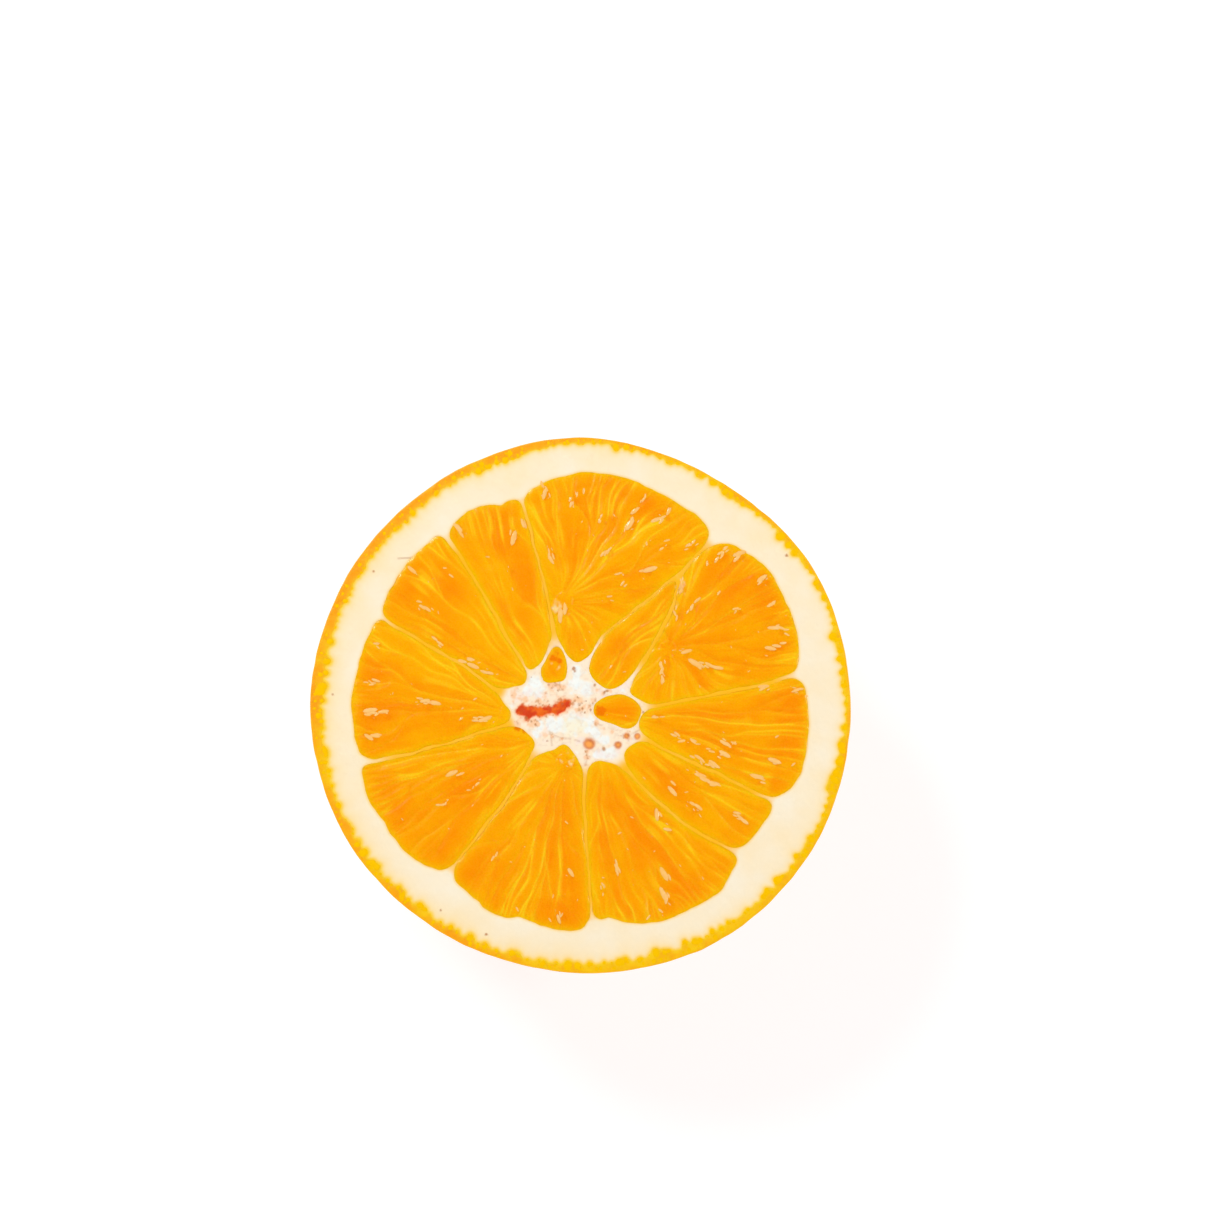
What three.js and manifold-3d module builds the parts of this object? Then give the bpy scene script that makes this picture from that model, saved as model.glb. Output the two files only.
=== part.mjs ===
// Half of a navel orange, cut across its equator, lying on its closed end with the cut face up.
// Millimetres, +Z up. The origin is on the axis of the fruit, at the level that it rests on.
import * as THREE from "three";
import { mergeVertices } from "three/addons/utils/BufferGeometryUtils.js";
import Module from "manifold-3d";

const wasm = await Module();
wasm.setup();

// Whole half
const cutHeight = 41.5; // the cut face above the table
const meanRadius = 41;
const rimSteps = 84; // points round the fruit
const rimRadii = [
  41.2, 41.2, 40.2, 40.8, 40.4, 40.6, 41.2, 41.1, 40.6, 40.8, 41.6, 41.6, // every 30 degrees
];

// Stem end
const restRadius = 7; // outer edge of the flat ring it rests on
const dimpleRadius = 4.6; // inner edge of that ring
const dimpleDepth = 1.5;
const scarRadius = 1.9; // button that the stem left
const scarTop = 1.1; // radius of its flat top
const scarRise = 0.5;
const scarDish = 0.2; // hollow in its top
const furrows = 9; // soft folds that run out from the stem end
const furrowDepth = 0.3;
const furrowPeak = 6; // where they are deepest, out from the flat ring

// Cut face to the skin's pole, if the end were not flattened
const skinDrop = cutHeight / Math.sqrt(1 - (restRadius / meanRadius) ** 2);

// Rind and pith
const rindThickness = 1.7;
const rindDrop = 38.6; // cut face to the bottom of the rind's hollow
const glandLobes = 28; // oil glands that scallop the rind's inner edge
const glandRelief = 0.2;
const glandUneven = 0.12; // every other gland stands out by this much more
const rindGap = 0.25; // between rind and pith

// Segments
const carpelDrop = 35.3; // cut face to where the segments would meet, if they ran to a point
const carpelTaper = [1, 0.93, 0.75, 0.42]; // size of a segment's section, from the cut face down
const navelDrop = 13;
const pulpGap = 0.2; // between the pulp and its wall
const endClearance = 0.04; // share of the last taper step that the pulp stops short of its pocket
const pocketOvershoot = 1; // how far the cutting bodies stand above the cut
const pulpEdgeDrop = 0.25; // the pulp meets its wall just under the cut
const pulpCrown = 0.45; // and swells above it
const crownRings = [[0.86, 0.5], [0.5, 0.8]]; // share of the outline, and of the crown reached there
const sacRelief = 0.25; // juice sacs that fan out from the inner tip
const sacReach = 18; // where the sacs are full size, from the point they fan out from
const fanShare = 0.45; // that point, from the segment's inner tip towards its middle
const stepsPerPoint = 2; // samples between two points of an outline

// Outline of each segment in the cut face, by x and y from the axis
const carpels = {
  segment_01: [[-8.5, 30.9], [-6.6, 33.3], [-2.7, 34.9], [1.8, 35.4], [9.9, 33.3], [17.3, 29], [19.1, 26.4],
    [18.1, 23.9], [11.1, 17.4], [3.2, 10.9], [1.1, 7.6], [-0.5, 6.6], [-2.3, 8], [-5.6, 19.3]],
  segment_02: [[14.2, 18.4], [13.3, 15.2], [10.3, 9.4], [6.5, 3.6], [4, 2.5], [2.3, 3.3], [1.4, 5.6],
    [3.9, 10.1], [11.6, 16.4]],
  segment_03: [[14.9, 17.4], [14.3, 14.1], [9.4, 5.2], [7.8, 2], [9, 1], [10.7, 0.2], [21.5, 2.4], [32.3, 5],
    [33.3, 8.9], [30, 18.5], [27.6, 21.4], [24.7, 23.5], [21.8, 24.5], [18, 22.5]],
  segment_04: [[9.1, -3.3], [9.6, -1.7], [11.3, -0.8], [23, 1.5], [32.3, 3.6], [34, 2.4], [34.6, -0.8],
    [34.2, -7.2], [32.3, -12.5], [29, -13.8], [21.5, -10.4], [10.4, -5]],
  segment_05: [[6.5, -7.9], [7.2, -6.6], [9, -6], [17.1, -9.5], [27.9, -14.7], [28.7, -15.9], [25.3, -20.9],
    [22.4, -21.4], [14.2, -16.5], [7.5, -9.8]],
  segment_06: [[2.6, -8.9], [4.3, -9.2], [6.1, -10.4], [10.7, -15.1], [16.6, -19.2], [22.4, -22.3],
    [23.4, -23.7], [21.5, -27.9], [14.8, -32], [9.6, -33.4], [4.9, -32.6], [4, -32.2], [3, -32.3],
    [2.1, -31.5], [0.9, -18.3], [1.4, -9.9]],
  segment_07: [[-2.5, -6.3], [-0.4, -9.4], [0, -15.2], [1.2, -31.1], [-0.2, -34.1], [-6, -33.7],
    [-9.7, -32.1], [-11.3, -32.3], [-14.8, -30.8], [-15.5, -29.8], [-18.5, -27.4], [-18.6, -24.5],
    [-11.2, -15], [-7.4, -8.8], [-4.1, -6.9]],
  segment_08: [[-32.8, -9.8], [-31.2, -9.2], [-20.2, -6.4], [-9.4, -3.8], [-7.3, -5.7], [-9.2, -10.1],
    [-18.7, -23.2], [-21.3, -25], [-25.4, -23.5], [-28.9, -19.7], [-30.1, -17.4], [-31.8, -15.4],
    [-32.7, -13]],
  segment_09: [[-11, -1.1], [-14.9, 2.8], [-20.7, 6.9], [-29.2, 11.8], [-30.5, 12.4], [-32.7, 9.5],
    [-34.9, 0.4], [-34.2, -5.4], [-33.2, -7.5], [-31.8, -8.1], [-20.2, -5.5], [-11.7, -2.7]],
  segment_10: [[-8.8, 3.4], [-8.5, 4.9], [-12.3, 10.8], [-18, 20.9], [-20.7, 24.6], [-21.7, 25.3],
    [-24.8, 23.2], [-28.3, 18.8], [-30, 14.2], [-29.1, 12.7], [-19.6, 7.5], [-12.9, 3], [-10.8, 2.7]],
  segment_11: [[-19.9, 25.8], [-18.1, 28.7], [-14.3, 30.4], [-12.6, 30.2], [-9.8, 30.7], [-8.1, 26.4],
    [-5, 13], [-6.1, 7], [-7.5, 5.4], [-8.5, 6.2], [-12, 12.6], [-17.5, 21.7]],
};
const navelCarpels = {
  navel_segment_1: [[-4, 8.4], [-2.4, 5.9], [-2.7, 3.7], [-5.7, 3.8], [-5.6, 6.2]],
  navel_segment_2: [[2.3, 0], [4.6, 0.9], [6.7, 0.9], [8.9, -0.9], [7.4, -3.4], [4.4, -3], [2.1, -1.5]],
};

const materials = {
  rind: { color: 0xf28a0c, roughness: 0.42, metalness: 0 },
  pith: { color: 0xf8ecd6, roughness: 0.85, metalness: 0 },
  pulp: { color: 0xff9f08, roughness: 0.25, metalness: 0 },
};

// The surface through rings of points, each ring counterclockwise seen from above. A ring of one
// point is a pole. The first ring lies lowest on the outside, and the last one closes the body.
function loft(rings) {
  const position = [];
  const start = [];
  for (const ring of rings) {
    start.push(position.length / 3);
    for (const p of ring) position.push(p.x, p.y, p.z);
  }
  const index = [];
  for (let r = 0; r + 1 < rings.length; r++) {
    const n = Math.max(rings[r].length, rings[r + 1].length);
    const at = (ring, i) => start[ring] + (i % rings[ring].length);
    for (let i = 0; i < n; i++) {
      if (rings[r].length > 1) index.push(at(r, i), at(r, i + 1), at(r + 1, i));
      if (rings[r + 1].length > 1) index.push(at(r, i + 1), at(r + 1, i + 1), at(r + 1, i));
    }
  }
  const geometry = new THREE.BufferGeometry();
  geometry.setAttribute("position", new THREE.Float32BufferAttribute(position, 3));
  geometry.setIndex(index);
  return geometry;
}

function solidOf(geometry) {
  const merged = mergeVertices(geometry, 1e-4);
  return new wasm.Manifold(
    new wasm.Mesh({
      numProp: 3,
      vertProperties: merged.getAttribute("position").array,
      triVerts: new Uint32Array(merged.index.array),
    }),
  );
}

function geometryOf(solid) {
  const mesh = solid.getMesh();
  const geometry = new THREE.BufferGeometry();
  geometry.setAttribute("position", new THREE.BufferAttribute(mesh.vertProperties, 3));
  geometry.setIndex(new THREE.BufferAttribute(mesh.triVerts, 1));
  return geometry;
}

function closedCurve(points) {
  const corners = points.map(([x, y]) => new THREE.Vector3(x, y, 0));
  return new THREE.CatmullRomCurve3(corners, true, "centripetal");
}

// Points along an outline, counterclockwise seen from above.
function outlinePoints(points) {
  const ring = closedCurve(points).getPoints(points.length * stepsPerPoint).slice(0, -1);
  return THREE.ShapeUtils.isClockWise(ring) ? ring.reverse() : ring;
}

// The same outline moved inwards by a distance.
function inset(ring, distance) {
  const n = ring.length;
  return ring.map((p, i) => {
    const along = ring[(i + 1) % n].clone().sub(ring[(i + n - 1) % n]).normalize();
    return new THREE.Vector3(p.x - along.y * distance, p.y + along.x * distance, p.z);
  });
}

// Rind and pith

const rimCurve = closedCurve(
  rimRadii.map((radius, i) => {
    const angle = (i * 2 * Math.PI) / rimRadii.length;
    return [radius * Math.cos(angle), radius * Math.sin(angle)];
  }),
);
const rimPoints = rimCurve.getPoints(rimSteps).slice(0, -1);

// A ring of the fruit: the rim's outline less an inset, drawn in by a share, rounder near the axis.
function fruitRing(share, depth, insetAt = () => 0, liftAt = () => 0) {
  const round = (1 - share) ** 2;
  return rimPoints.map((p) => {
    const angle = Math.atan2(p.y, p.x);
    const outline = THREE.MathUtils.lerp(Math.hypot(p.x, p.y), meanRadius, round);
    const radius = (outline - insetAt(angle)) * share;
    return new THREE.Vector3(
      radius * Math.cos(angle),
      radius * Math.sin(angle),
      cutHeight - depth + liftAt(angle, radius),
    );
  });
}

const domeDepth = (share, drop) => drop * Math.sqrt(1 - share * share);

// Scalloped by the oil glands at the cut, smooth further down.
function rindInset(scallop, extra = 0) {
  return (angle) => {
    const lobes = glandRelief * Math.sin(glandLobes * angle);
    const largeLobes = glandUneven * Math.sin(0.5 * glandLobes * angle + 1);
    return rindThickness + extra + scallop * (lobes + largeLobes);
  };
}

// Soft folds in the skin near the stem end, none where it rests.
function furrowLift(angle, radius) {
  const away = (radius - restRadius) / furrowPeak;
  return furrowDepth * away * Math.exp(1 - away) * (0.5 + 0.5 * Math.cos(furrows * angle));
}

function buildRind() {
  const lowRing = (radius, lift) => fruitRing(radius / meanRadius, cutHeight - lift);
  const skinShares = [0.24, 0.33, 0.43, 0.53, 0.63, 0.72, 0.8, 0.87, 0.925, 0.965, 0.99];
  const hollowShares = [0.985, 0.93, 0.82, 0.66, 0.46, 0.22];
  return loft([
    [new THREE.Vector3(0, 0, dimpleDepth - scarRise + scarDish)],
    lowRing(scarTop, dimpleDepth - scarRise),
    lowRing(scarRadius, dimpleDepth),
    lowRing(dimpleRadius, 0),
    lowRing(restRadius, 0),
    ...skinShares.map((share) => fruitRing(share, domeDepth(share, skinDrop), undefined, furrowLift)),
    fruitRing(1, 0),
    fruitRing(1, 0, rindInset(1)),
    ...hollowShares.map((share, i) => fruitRing(share, domeDepth(share, rindDrop), rindInset(i ? 0 : 0.5))),
    [new THREE.Vector3(0, 0, cutHeight - rindDrop)],
  ]);
}

function pithBlank() {
  const drop = rindDrop - rindGap;
  const shares = [0.22, 0.46, 0.66, 0.82, 0.93, 0.985];
  return loft([
    [new THREE.Vector3(0, 0, cutHeight - drop)],
    ...shares.map((share, i) =>
      fruitRing(share, domeDepth(share, drop), rindInset(i < shares.length - 1 ? 0 : 0.5, rindGap))),
    fruitRing(1, 0, rindInset(1, rindGap)),
    [new THREE.Vector3(0, 0, cutHeight)],
  ]);
}

// Segments

// An outline's section at a share of its size: every segment narrows towards the axis.
function sectionAt(ring, share, z) {
  return ring.map((p) => new THREE.Vector3(p.x * share, p.y * share, z));
}

// Narrows about a middle of its own, for the small carpels in the core.
function sectionAbout(ring, centre, share, z) {
  return ring.map((p) => centre.clone().lerp(p, share).setZ(z));
}

function middleOf(ring) {
  return ring.reduce((sum, p) => sum.add(p), new THREE.Vector3()).divideScalar(ring.length);
}

// Where the juice sacs fan out from: towards the inner tip of the segment.
function fanPoint(ring) {
  const tip = ring.reduce((near, p) => (p.length() < near.length() ? p : near));
  return tip.clone().lerp(middleOf(ring), fanShare);
}

function taperRings(outline, drop, navel) {
  const centre = middleOf(outline);
  return [...carpelTaper].reverse().map((share) => {
    const z = cutHeight - domeDepth(share, drop);
    return navel ? sectionAbout(outline, centre, share, z) : sectionAt(outline, share, z);
  });
}

function closedEnd(ring) {
  return [middleOf(ring)];
}

// The pulp's cut surface: sacs raised as ridges between the fan point and the outline.
function pulpTop(outline) {
  const fan = fanPoint(outline);
  const ringAt = (share, crown) =>
    outline.map((p, i) => {
      const ridge = (i % 2 ? 1 : -1) * sacRelief * Math.min(1, (share * fan.distanceTo(p)) / sacReach);
      return fan.clone().lerp(p, share).setZ(cutHeight + crown + ridge);
    });
  const rings = crownRings.map(([share, rise]) => ringAt(share, pulpCrown * rise));
  return [...rings, [fan.clone().setZ(cutHeight + pulpCrown)]];
}

function buildPulp(points, drop, navel) {
  const outline = inset(outlinePoints(points), pulpGap);
  const walls = taperRings(outline, drop, navel);
  walls[0].forEach((p, i) => p.lerp(walls[1][i], endClearance));
  walls[walls.length - 1].forEach((p) => (p.z -= pulpEdgeDrop));
  return loft([closedEnd(walls[0]), ...walls, ...pulpTop(outline)]);
}

function buildPocket(points, drop, navel) {
  const outline = outlinePoints(points);
  const walls = taperRings(outline, drop, navel);
  const mouth = sectionAt(outline, 1, cutHeight + pocketOvershoot);
  return loft([closedEnd(walls[0]), ...walls, mouth, closedEnd(mouth)]);
}

function buildPith() {
  let pith = solidOf(pithBlank());
  for (const points of Object.values(carpels)) {
    pith = pith.subtract(solidOf(buildPocket(points, carpelDrop, false)));
  }
  for (const points of Object.values(navelCarpels)) {
    pith = pith.subtract(solidOf(buildPocket(points, navelDrop, true)));
  }
  return geometryOf(pith);
}

const orangeHalf = new THREE.Group();

function addPiece(name, geometry, finish) {
  const mesh = new THREE.Mesh(geometry, new THREE.MeshStandardMaterial(materials[finish]));
  mesh.name = name;
  orangeHalf.add(mesh);
}

addPiece("rind", buildRind(), "rind");
addPiece("pith", buildPith(), "pith");
for (const [name, points] of Object.entries(carpels)) {
  addPiece(name, buildPulp(points, carpelDrop, false), "pulp");
}
for (const [name, points] of Object.entries(navelCarpels)) {
  addPiece(name, buildPulp(points, navelDrop, true), "pulp");
}

export default orangeHalf;
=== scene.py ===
import math

import bpy
import numpy as np
from mathutils import Matrix, Vector, kdtree
from mathutils.geometry import delaunay_2d_cdt


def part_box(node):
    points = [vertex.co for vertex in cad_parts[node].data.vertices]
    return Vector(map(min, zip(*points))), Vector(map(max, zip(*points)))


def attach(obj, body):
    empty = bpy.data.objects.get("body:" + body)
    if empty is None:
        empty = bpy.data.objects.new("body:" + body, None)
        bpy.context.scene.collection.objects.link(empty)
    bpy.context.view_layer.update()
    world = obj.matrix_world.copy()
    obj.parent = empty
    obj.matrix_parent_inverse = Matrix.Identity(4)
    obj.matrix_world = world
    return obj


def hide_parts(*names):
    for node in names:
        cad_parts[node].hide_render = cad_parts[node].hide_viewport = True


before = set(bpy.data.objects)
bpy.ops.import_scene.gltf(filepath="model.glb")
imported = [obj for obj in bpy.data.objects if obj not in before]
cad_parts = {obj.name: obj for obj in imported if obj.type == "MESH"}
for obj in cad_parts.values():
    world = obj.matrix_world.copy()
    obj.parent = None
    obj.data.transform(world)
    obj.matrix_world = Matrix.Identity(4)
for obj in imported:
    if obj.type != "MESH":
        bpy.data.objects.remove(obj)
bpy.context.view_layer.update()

# Half of a navel orange, cut face up. Lengths here are millimetres, put in the meshes as metres.
mm = 0.001
sameLevel = 0.01  # corners closer in height than this are on one level
far = 9.0  # farther than any distance that matters to a mark
sharpAngle = 50  # an edge stays sharp where its faces turn by more than this, in degrees
meanRadius = 41  # of the whole fruit
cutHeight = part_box("rind")[1][2] / mm
segmentNodes = sorted(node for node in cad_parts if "segment" in node)


def smoothStep(low, high, value):
    share = np.clip((value - low) / (high - low), 0, 1)
    return share * share * (3 - 2 * share)


def softNoise(points, size, seed):
    # value noise from -1 to 1 over two or three coordinates, in lumps of about the given size
    scaled = points / size
    cell = np.floor(scaled).astype(np.int64)
    part = scaled - cell
    part = part ** 3 * (part * (part * 6 - 15) + 10)
    primes = (73856093, 19349663, 83492791)  # with the steps below, these scatter a cell's numbers
    total = np.zeros(len(points))
    for corner in range(2 ** points.shape[1]):
        weight = np.ones(len(points))
        code = np.full(len(points), seed * 7919 + 17, dtype=np.int64)
        for axis in range(points.shape[1]):
            bit = (corner >> axis) & 1
            weight *= part[:, axis] if bit else 1 - part[:, axis]
            code = code ^ ((cell[:, axis] + bit) * primes[axis])
        code = (code ^ (code >> 13)) * 1274126177
        code = (code ^ (code >> 16)) & 0xFFFF
        total += weight * (code / 0x7FFF - 1)
    return total


def layeredNoise(points, size, seed, layers=3):
    return sum(softNoise(points, size / 2 ** k, seed + k) / 2 ** k for k in range(layers))


def treeOf(points):
    tree = kdtree.KDTree(len(points))
    for i, point in enumerate(points.tolist()):
        tree.insert((point + [0])[:3], i)
    tree.balance()
    return tree


def distanceTo(tree, points):
    return np.array([tree.find((point + [0])[:3])[2] for point in points.tolist()])


def spotted(points, spots, seed, ragged=0.3):
    # 1 inside the given spots (x, y, radius), 0 outside their ragged edges
    found = np.zeros(len(points))
    rough = ragged * layeredNoise(points, 0.8, seed, 3)
    for x, y, radius in spots:
        away = np.hypot(points[:, 0] - x, points[:, 1] - y) / radius
        found = np.maximum(found, 1 - smoothStep(0.45, 1.15, away + rough))
    return found


def nodeTriangles(node):
    # corners and triangles of a solid, with shared corners merged
    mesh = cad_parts[node].data
    flat = np.empty(len(mesh.vertices) * 3)
    mesh.vertices.foreach_get("co", flat)
    triangles = np.empty(len(mesh.polygons) * 3, dtype=np.int64)
    mesh.polygons.foreach_get("vertices", triangles)
    points, index = np.unique(np.round(flat.reshape(-1, 3) / mm, 3), axis=0, return_inverse=True)
    return points, index.reshape(-1)[triangles].reshape(-1, 3)


def ringAtLevel(points, triangles, level):
    # the closed ring of corners at one height, counterclockwise from above
    onLevel = np.abs(points[:, 2] - level) < sameLevel
    neighbours = {}
    for a, b in triangles[:, (0, 1, 1, 2, 2, 0)].reshape(-1, 2):
        if onLevel[a] and onLevel[b]:
            neighbours.setdefault(a, set()).add(b)
            neighbours.setdefault(b, set()).add(a)
    start = min(neighbours)
    ring, last, here = [start], None, start
    while True:
        ahead = [n for n in neighbours[here] if n != last]
        last, here = here, ahead[0]
        if here == start:
            break
        ring.append(here)
    loop = points[ring][:, :2]
    ahead = np.roll(loop, -1, axis=0)
    area = np.sum(loop[:, 0] * ahead[:, 1] - ahead[:, 0] * loop[:, 1])
    return loop if area > 0 else loop[::-1]


def smoothLoop(corners, spacing):
    # a closed curve through the corners, with points at even steps along it
    before, here, ahead, beyond = (np.roll(corners, k, axis=0) for k in (1, 0, -1, -2))
    pairs = ((before, here), (here, ahead), (ahead, beyond))
    back, span, front = (np.sqrt(np.linalg.norm(q - p, axis=1))[:, None] for p, q in pairs)
    leave = ((here - before) / back - (ahead - before) / (back + span)) * span + (ahead - here)
    arrive = ((beyond - ahead) / front - (beyond - here) / (span + front)) * span + (ahead - here)
    t = (np.arange(12) / 12)[None, :, None]
    a, b, m, n = (v[:, None, :] for v in (here, ahead, leave, arrive))
    curve = a + m * t + (3 * (b - a) - 2 * m - n) * t ** 2 + (2 * (a - b) + m + n) * t ** 3
    return evenLoop(curve.reshape(-1, 2), spacing)


def evenLoop(curve, spacing):
    closed = np.vstack([curve, curve[:1]])
    walked = np.concatenate([[0], np.cumsum(np.linalg.norm(np.diff(closed, axis=0), axis=1))])
    count = max(12, round(walked[-1] / spacing))
    at = np.arange(count) * walked[-1] / count
    return np.column_stack([np.interp(at, walked, closed[:, k]) for k in (0, 1)])


def rolling(values, reach):
    # average over neighbours along a closed loop
    return sum(np.roll(values, k, axis=0) for k in range(-reach, reach + 1)) / (2 * reach + 1)


def grown(loop, distance):
    # the loop moved outwards
    along = np.roll(loop, -1, axis=0) - np.roll(loop, 1, axis=0)
    along /= np.linalg.norm(along, axis=1)[:, None]
    return loop + np.column_stack([along[:, 1], -along[:, 0]]) * np.reshape(distance, (-1, 1))


def insideLoop(loop, points):
    ahead = np.roll(loop, -1, axis=0)
    found = np.zeros(len(points), dtype=bool)
    for i, (x, y) in enumerate(points):
        crossing = (loop[:, 1] > y) != (ahead[:, 1] > y)
        p, q = loop[crossing], ahead[crossing]
        found[i] = np.sum(p[:, 0] + (y - p[:, 1]) / (q[:, 1] - p[:, 1]) * (q[:, 0] - p[:, 0]) > x) % 2
    return found


def fillRegion(loops, spacing, seed):
    # triangles that fill the first loop, less the others. The loops' own points come first, in order.
    rowStep, clear, jitter = 0.866, 0.6, 0.12  # all as shares of the spacing
    borders = np.vstack(loops)
    starts = np.cumsum([0] + [len(loop) for loop in loops])
    edges = []
    for first, loop in zip(starts, loops):
        edges += [(first + k, first + (k + 1) % len(loop)) for k in range(len(loop))]
    ends = np.array(edges)
    a, b = borders[ends[:, 0]], borders[ends[:, 1]]
    low, high = borders.min(axis=0), borders.max(axis=0)
    columns = np.arange(low[0], high[0], spacing)
    rows = []
    for row, y in enumerate(np.arange(low[1], high[1], spacing * rowStep)):
        crossing = (a[:, 1] > y) != (b[:, 1] > y)
        p, q = a[crossing], b[crossing]
        at = np.sort(p[:, 0] + (y - p[:, 1]) / (q[:, 1] - p[:, 1]) * (q[:, 0] - p[:, 0]))
        xs = columns + (row % 2) * spacing / 2
        xs = xs[np.searchsorted(at, xs) % 2 == 1]
        rows.append(np.column_stack([xs, np.full(len(xs), y)]))
    fresh = np.vstack(rows)
    fresh = fresh[distanceTo(treeOf(borders), fresh) > spacing * clear]
    fresh += np.random.default_rng(seed).uniform(-jitter, jitter, fresh.shape) * spacing
    points = np.vstack([borders, fresh])
    found = delaunay_2d_cdt([Vector(p) for p in points.tolist()], edges, [], 1, 1e-6)
    triangles = np.array(found[2])
    for first, hole in zip(starts[1:], loops[1:]):
        within = np.flatnonzero(np.all((triangles >= first) & (triangles < first + len(hole)), axis=1))
        inHole = insideLoop(hole, points[triangles[within]].mean(axis=1))
        triangles = np.delete(triangles, within[inHole], axis=0)
    corners = points[triangles]
    side1, side2 = corners[:, 1] - corners[:, 0], corners[:, 2] - corners[:, 0]
    turned = side1[:, 0] * side2[:, 1] - side1[:, 1] * side2[:, 0] < 0
    triangles[turned] = triangles[turned][:, ::-1]
    return points, triangles


def newBody():
    # points and triangles of one closed piece, gathered before they become a mesh
    return {"points": [], "faces": [], "count": 0}


def addPoints(body, points):
    first = body["count"]
    body["points"].append(np.asarray(points, dtype=float))
    body["count"] += len(points)
    return np.arange(first, body["count"])


def addRing(body, loop, height):
    return addPoints(body, np.column_stack([loop, np.full(len(loop), height)]))


def addWall(body, upper, lower, inward=False):
    # a wall between two closed rings of point numbers, the second one below
    faces, i, j = [], 0, 0
    many, few = len(upper), len(lower)
    while i < many or j < few:
        if j >= few or (i < many and (i + 1) * few <= (j + 1) * many):
            faces.append((upper[i % many], lower[j % few], upper[(i + 1) % many]))
            i += 1
        else:
            faces.append((upper[i % many], lower[j % few], lower[(j + 1) % few]))
            j += 1
    body["faces"].append(np.array(faces)[:, ::-1] if inward else np.array(faces))


def addCap(body, ring, point, upward):
    middle = np.full(len(ring), addPoints(body, [point])[0])
    spokes = np.column_stack([ring, np.roll(ring, -1), middle])
    body["faces"].append(spokes if upward else spokes[:, ::-1])


def meshOf(body, name, materials, values=None, faceMaterial=None):
    points, faces = np.vstack(body["points"]) * mm, np.vstack(body["faces"])
    mesh = bpy.data.meshes.new(name)
    mesh.vertices.add(len(points))
    mesh.vertices.foreach_set("co", points.ravel())
    mesh.loops.add(faces.size)
    mesh.loops.foreach_set("vertex_index", faces.ravel())
    mesh.polygons.add(len(faces))
    mesh.polygons.foreach_set("loop_start", np.arange(0, faces.size, 3))
    mesh.update(calc_edges=True)
    mesh.polygons.foreach_set("use_smooth", np.ones(len(faces), dtype=bool))
    for material in materials:
        mesh.materials.append(material)
    if faceMaterial is not None:
        mesh.polygons.foreach_set("material_index", faceMaterial.astype(np.int32))
    for key, numbers in (values or {}).items():
        storeValue(mesh, key, np.pad(numbers, (0, len(points) - len(numbers))))
    mesh.validate()
    return mesh


def storeValue(mesh, key, numbers):
    mesh.attributes.new(key, "FLOAT", "POINT").data.foreach_set("value", numbers.astype(np.float32))


def placePiece(name, mesh, replaced=()):
    mesh.set_sharp_from_angle(angle=math.radians(sharpAngle))
    piece = bpy.data.objects.new(name, mesh)
    bpy.context.scene.collection.objects.link(piece)
    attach(piece, "root")
    if replaced:
        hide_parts(*replaced)
    print("made", name, len(mesh.polygons), "faces")
    return piece


def newTree(name, sockets):
    tree = bpy.data.node_groups.new(name, "GeometryNodeTree")
    tree.interface.new_socket("Geometry", in_out="INPUT", socket_type="NodeSocketGeometry")
    for key, value in sockets.items():
        kind = "NodeSocketInt" if isinstance(value, int) else "NodeSocketFloat"
        tree.interface.new_socket(key, in_out="INPUT", socket_type=kind).default_value = value
    tree.interface.new_socket("Material", in_out="INPUT", socket_type="NodeSocketMaterial")
    tree.interface.new_socket("Geometry", in_out="OUTPUT", socket_type="NodeSocketGeometry")
    return tree, tree.nodes.new("NodeGroupInput"), tree.nodes.new("NodeGroupOutput")


def plug(tree, node, **inputs):
    # links a socket, or sets a plain value, by the input's name or number
    for key, value in inputs.items():
        name = key.replace("_", " ")
        socket = node.inputs[int(name[1:])] if name[0] == "n" and name[1:].isdigit() else node.inputs[name]
        if isinstance(value, bpy.types.NodeSocket):
            tree.links.new(value, socket)
        else:
            socket.default_value = value
    return node


def mathNode(tree, operation, *values):
    node = tree.nodes.new("ShaderNodeMath")
    node.operation = operation
    return plug(tree, node, **{f"n{k}": value for k, value in enumerate(values)}).outputs[0]


def namedValue(tree, name):
    node = tree.nodes.new("GeometryNodeInputNamedAttribute")
    node.data_type = "FLOAT"
    node.inputs["Name"].default_value = name
    return node.outputs["Attribute"]


def finishTree(tree, geometry, material, outside):
    # ends a tree with plain smooth geometry in its material
    real = plug(tree, tree.nodes.new("GeometryNodeRealizeInstances"), Geometry=geometry)
    smooth = plug(tree, tree.nodes.new("GeometryNodeSetShadeSmooth"), Geometry=real.outputs[0])
    dressed = tree.nodes.new("GeometryNodeSetMaterial")
    plug(tree, dressed, Geometry=smooth.outputs[0], Material=material)
    plug(tree, outside, Geometry=dressed.outputs[0])


def runTree(tree, mesh, **inputs):
    # the mesh after the tree, as a plain mesh
    host = bpy.data.objects.new(mesh.name + "Host", mesh)
    bpy.context.scene.collection.objects.link(host)
    modifier = host.modifiers.new(tree.name, "NODES")
    modifier.node_group = tree
    for item in tree.interface.items_tree:
        if item.in_out == "INPUT" and item.name in inputs:
            modifier[item.identifier] = inputs[item.name]
    graph = bpy.context.evaluated_depsgraph_get()
    result = bpy.data.meshes.new_from_object(
        host.evaluated_get(graph), preserve_all_data_layers=True, depsgraph=graph)
    bpy.data.objects.remove(host)
    result.name = mesh.name
    return result


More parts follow.
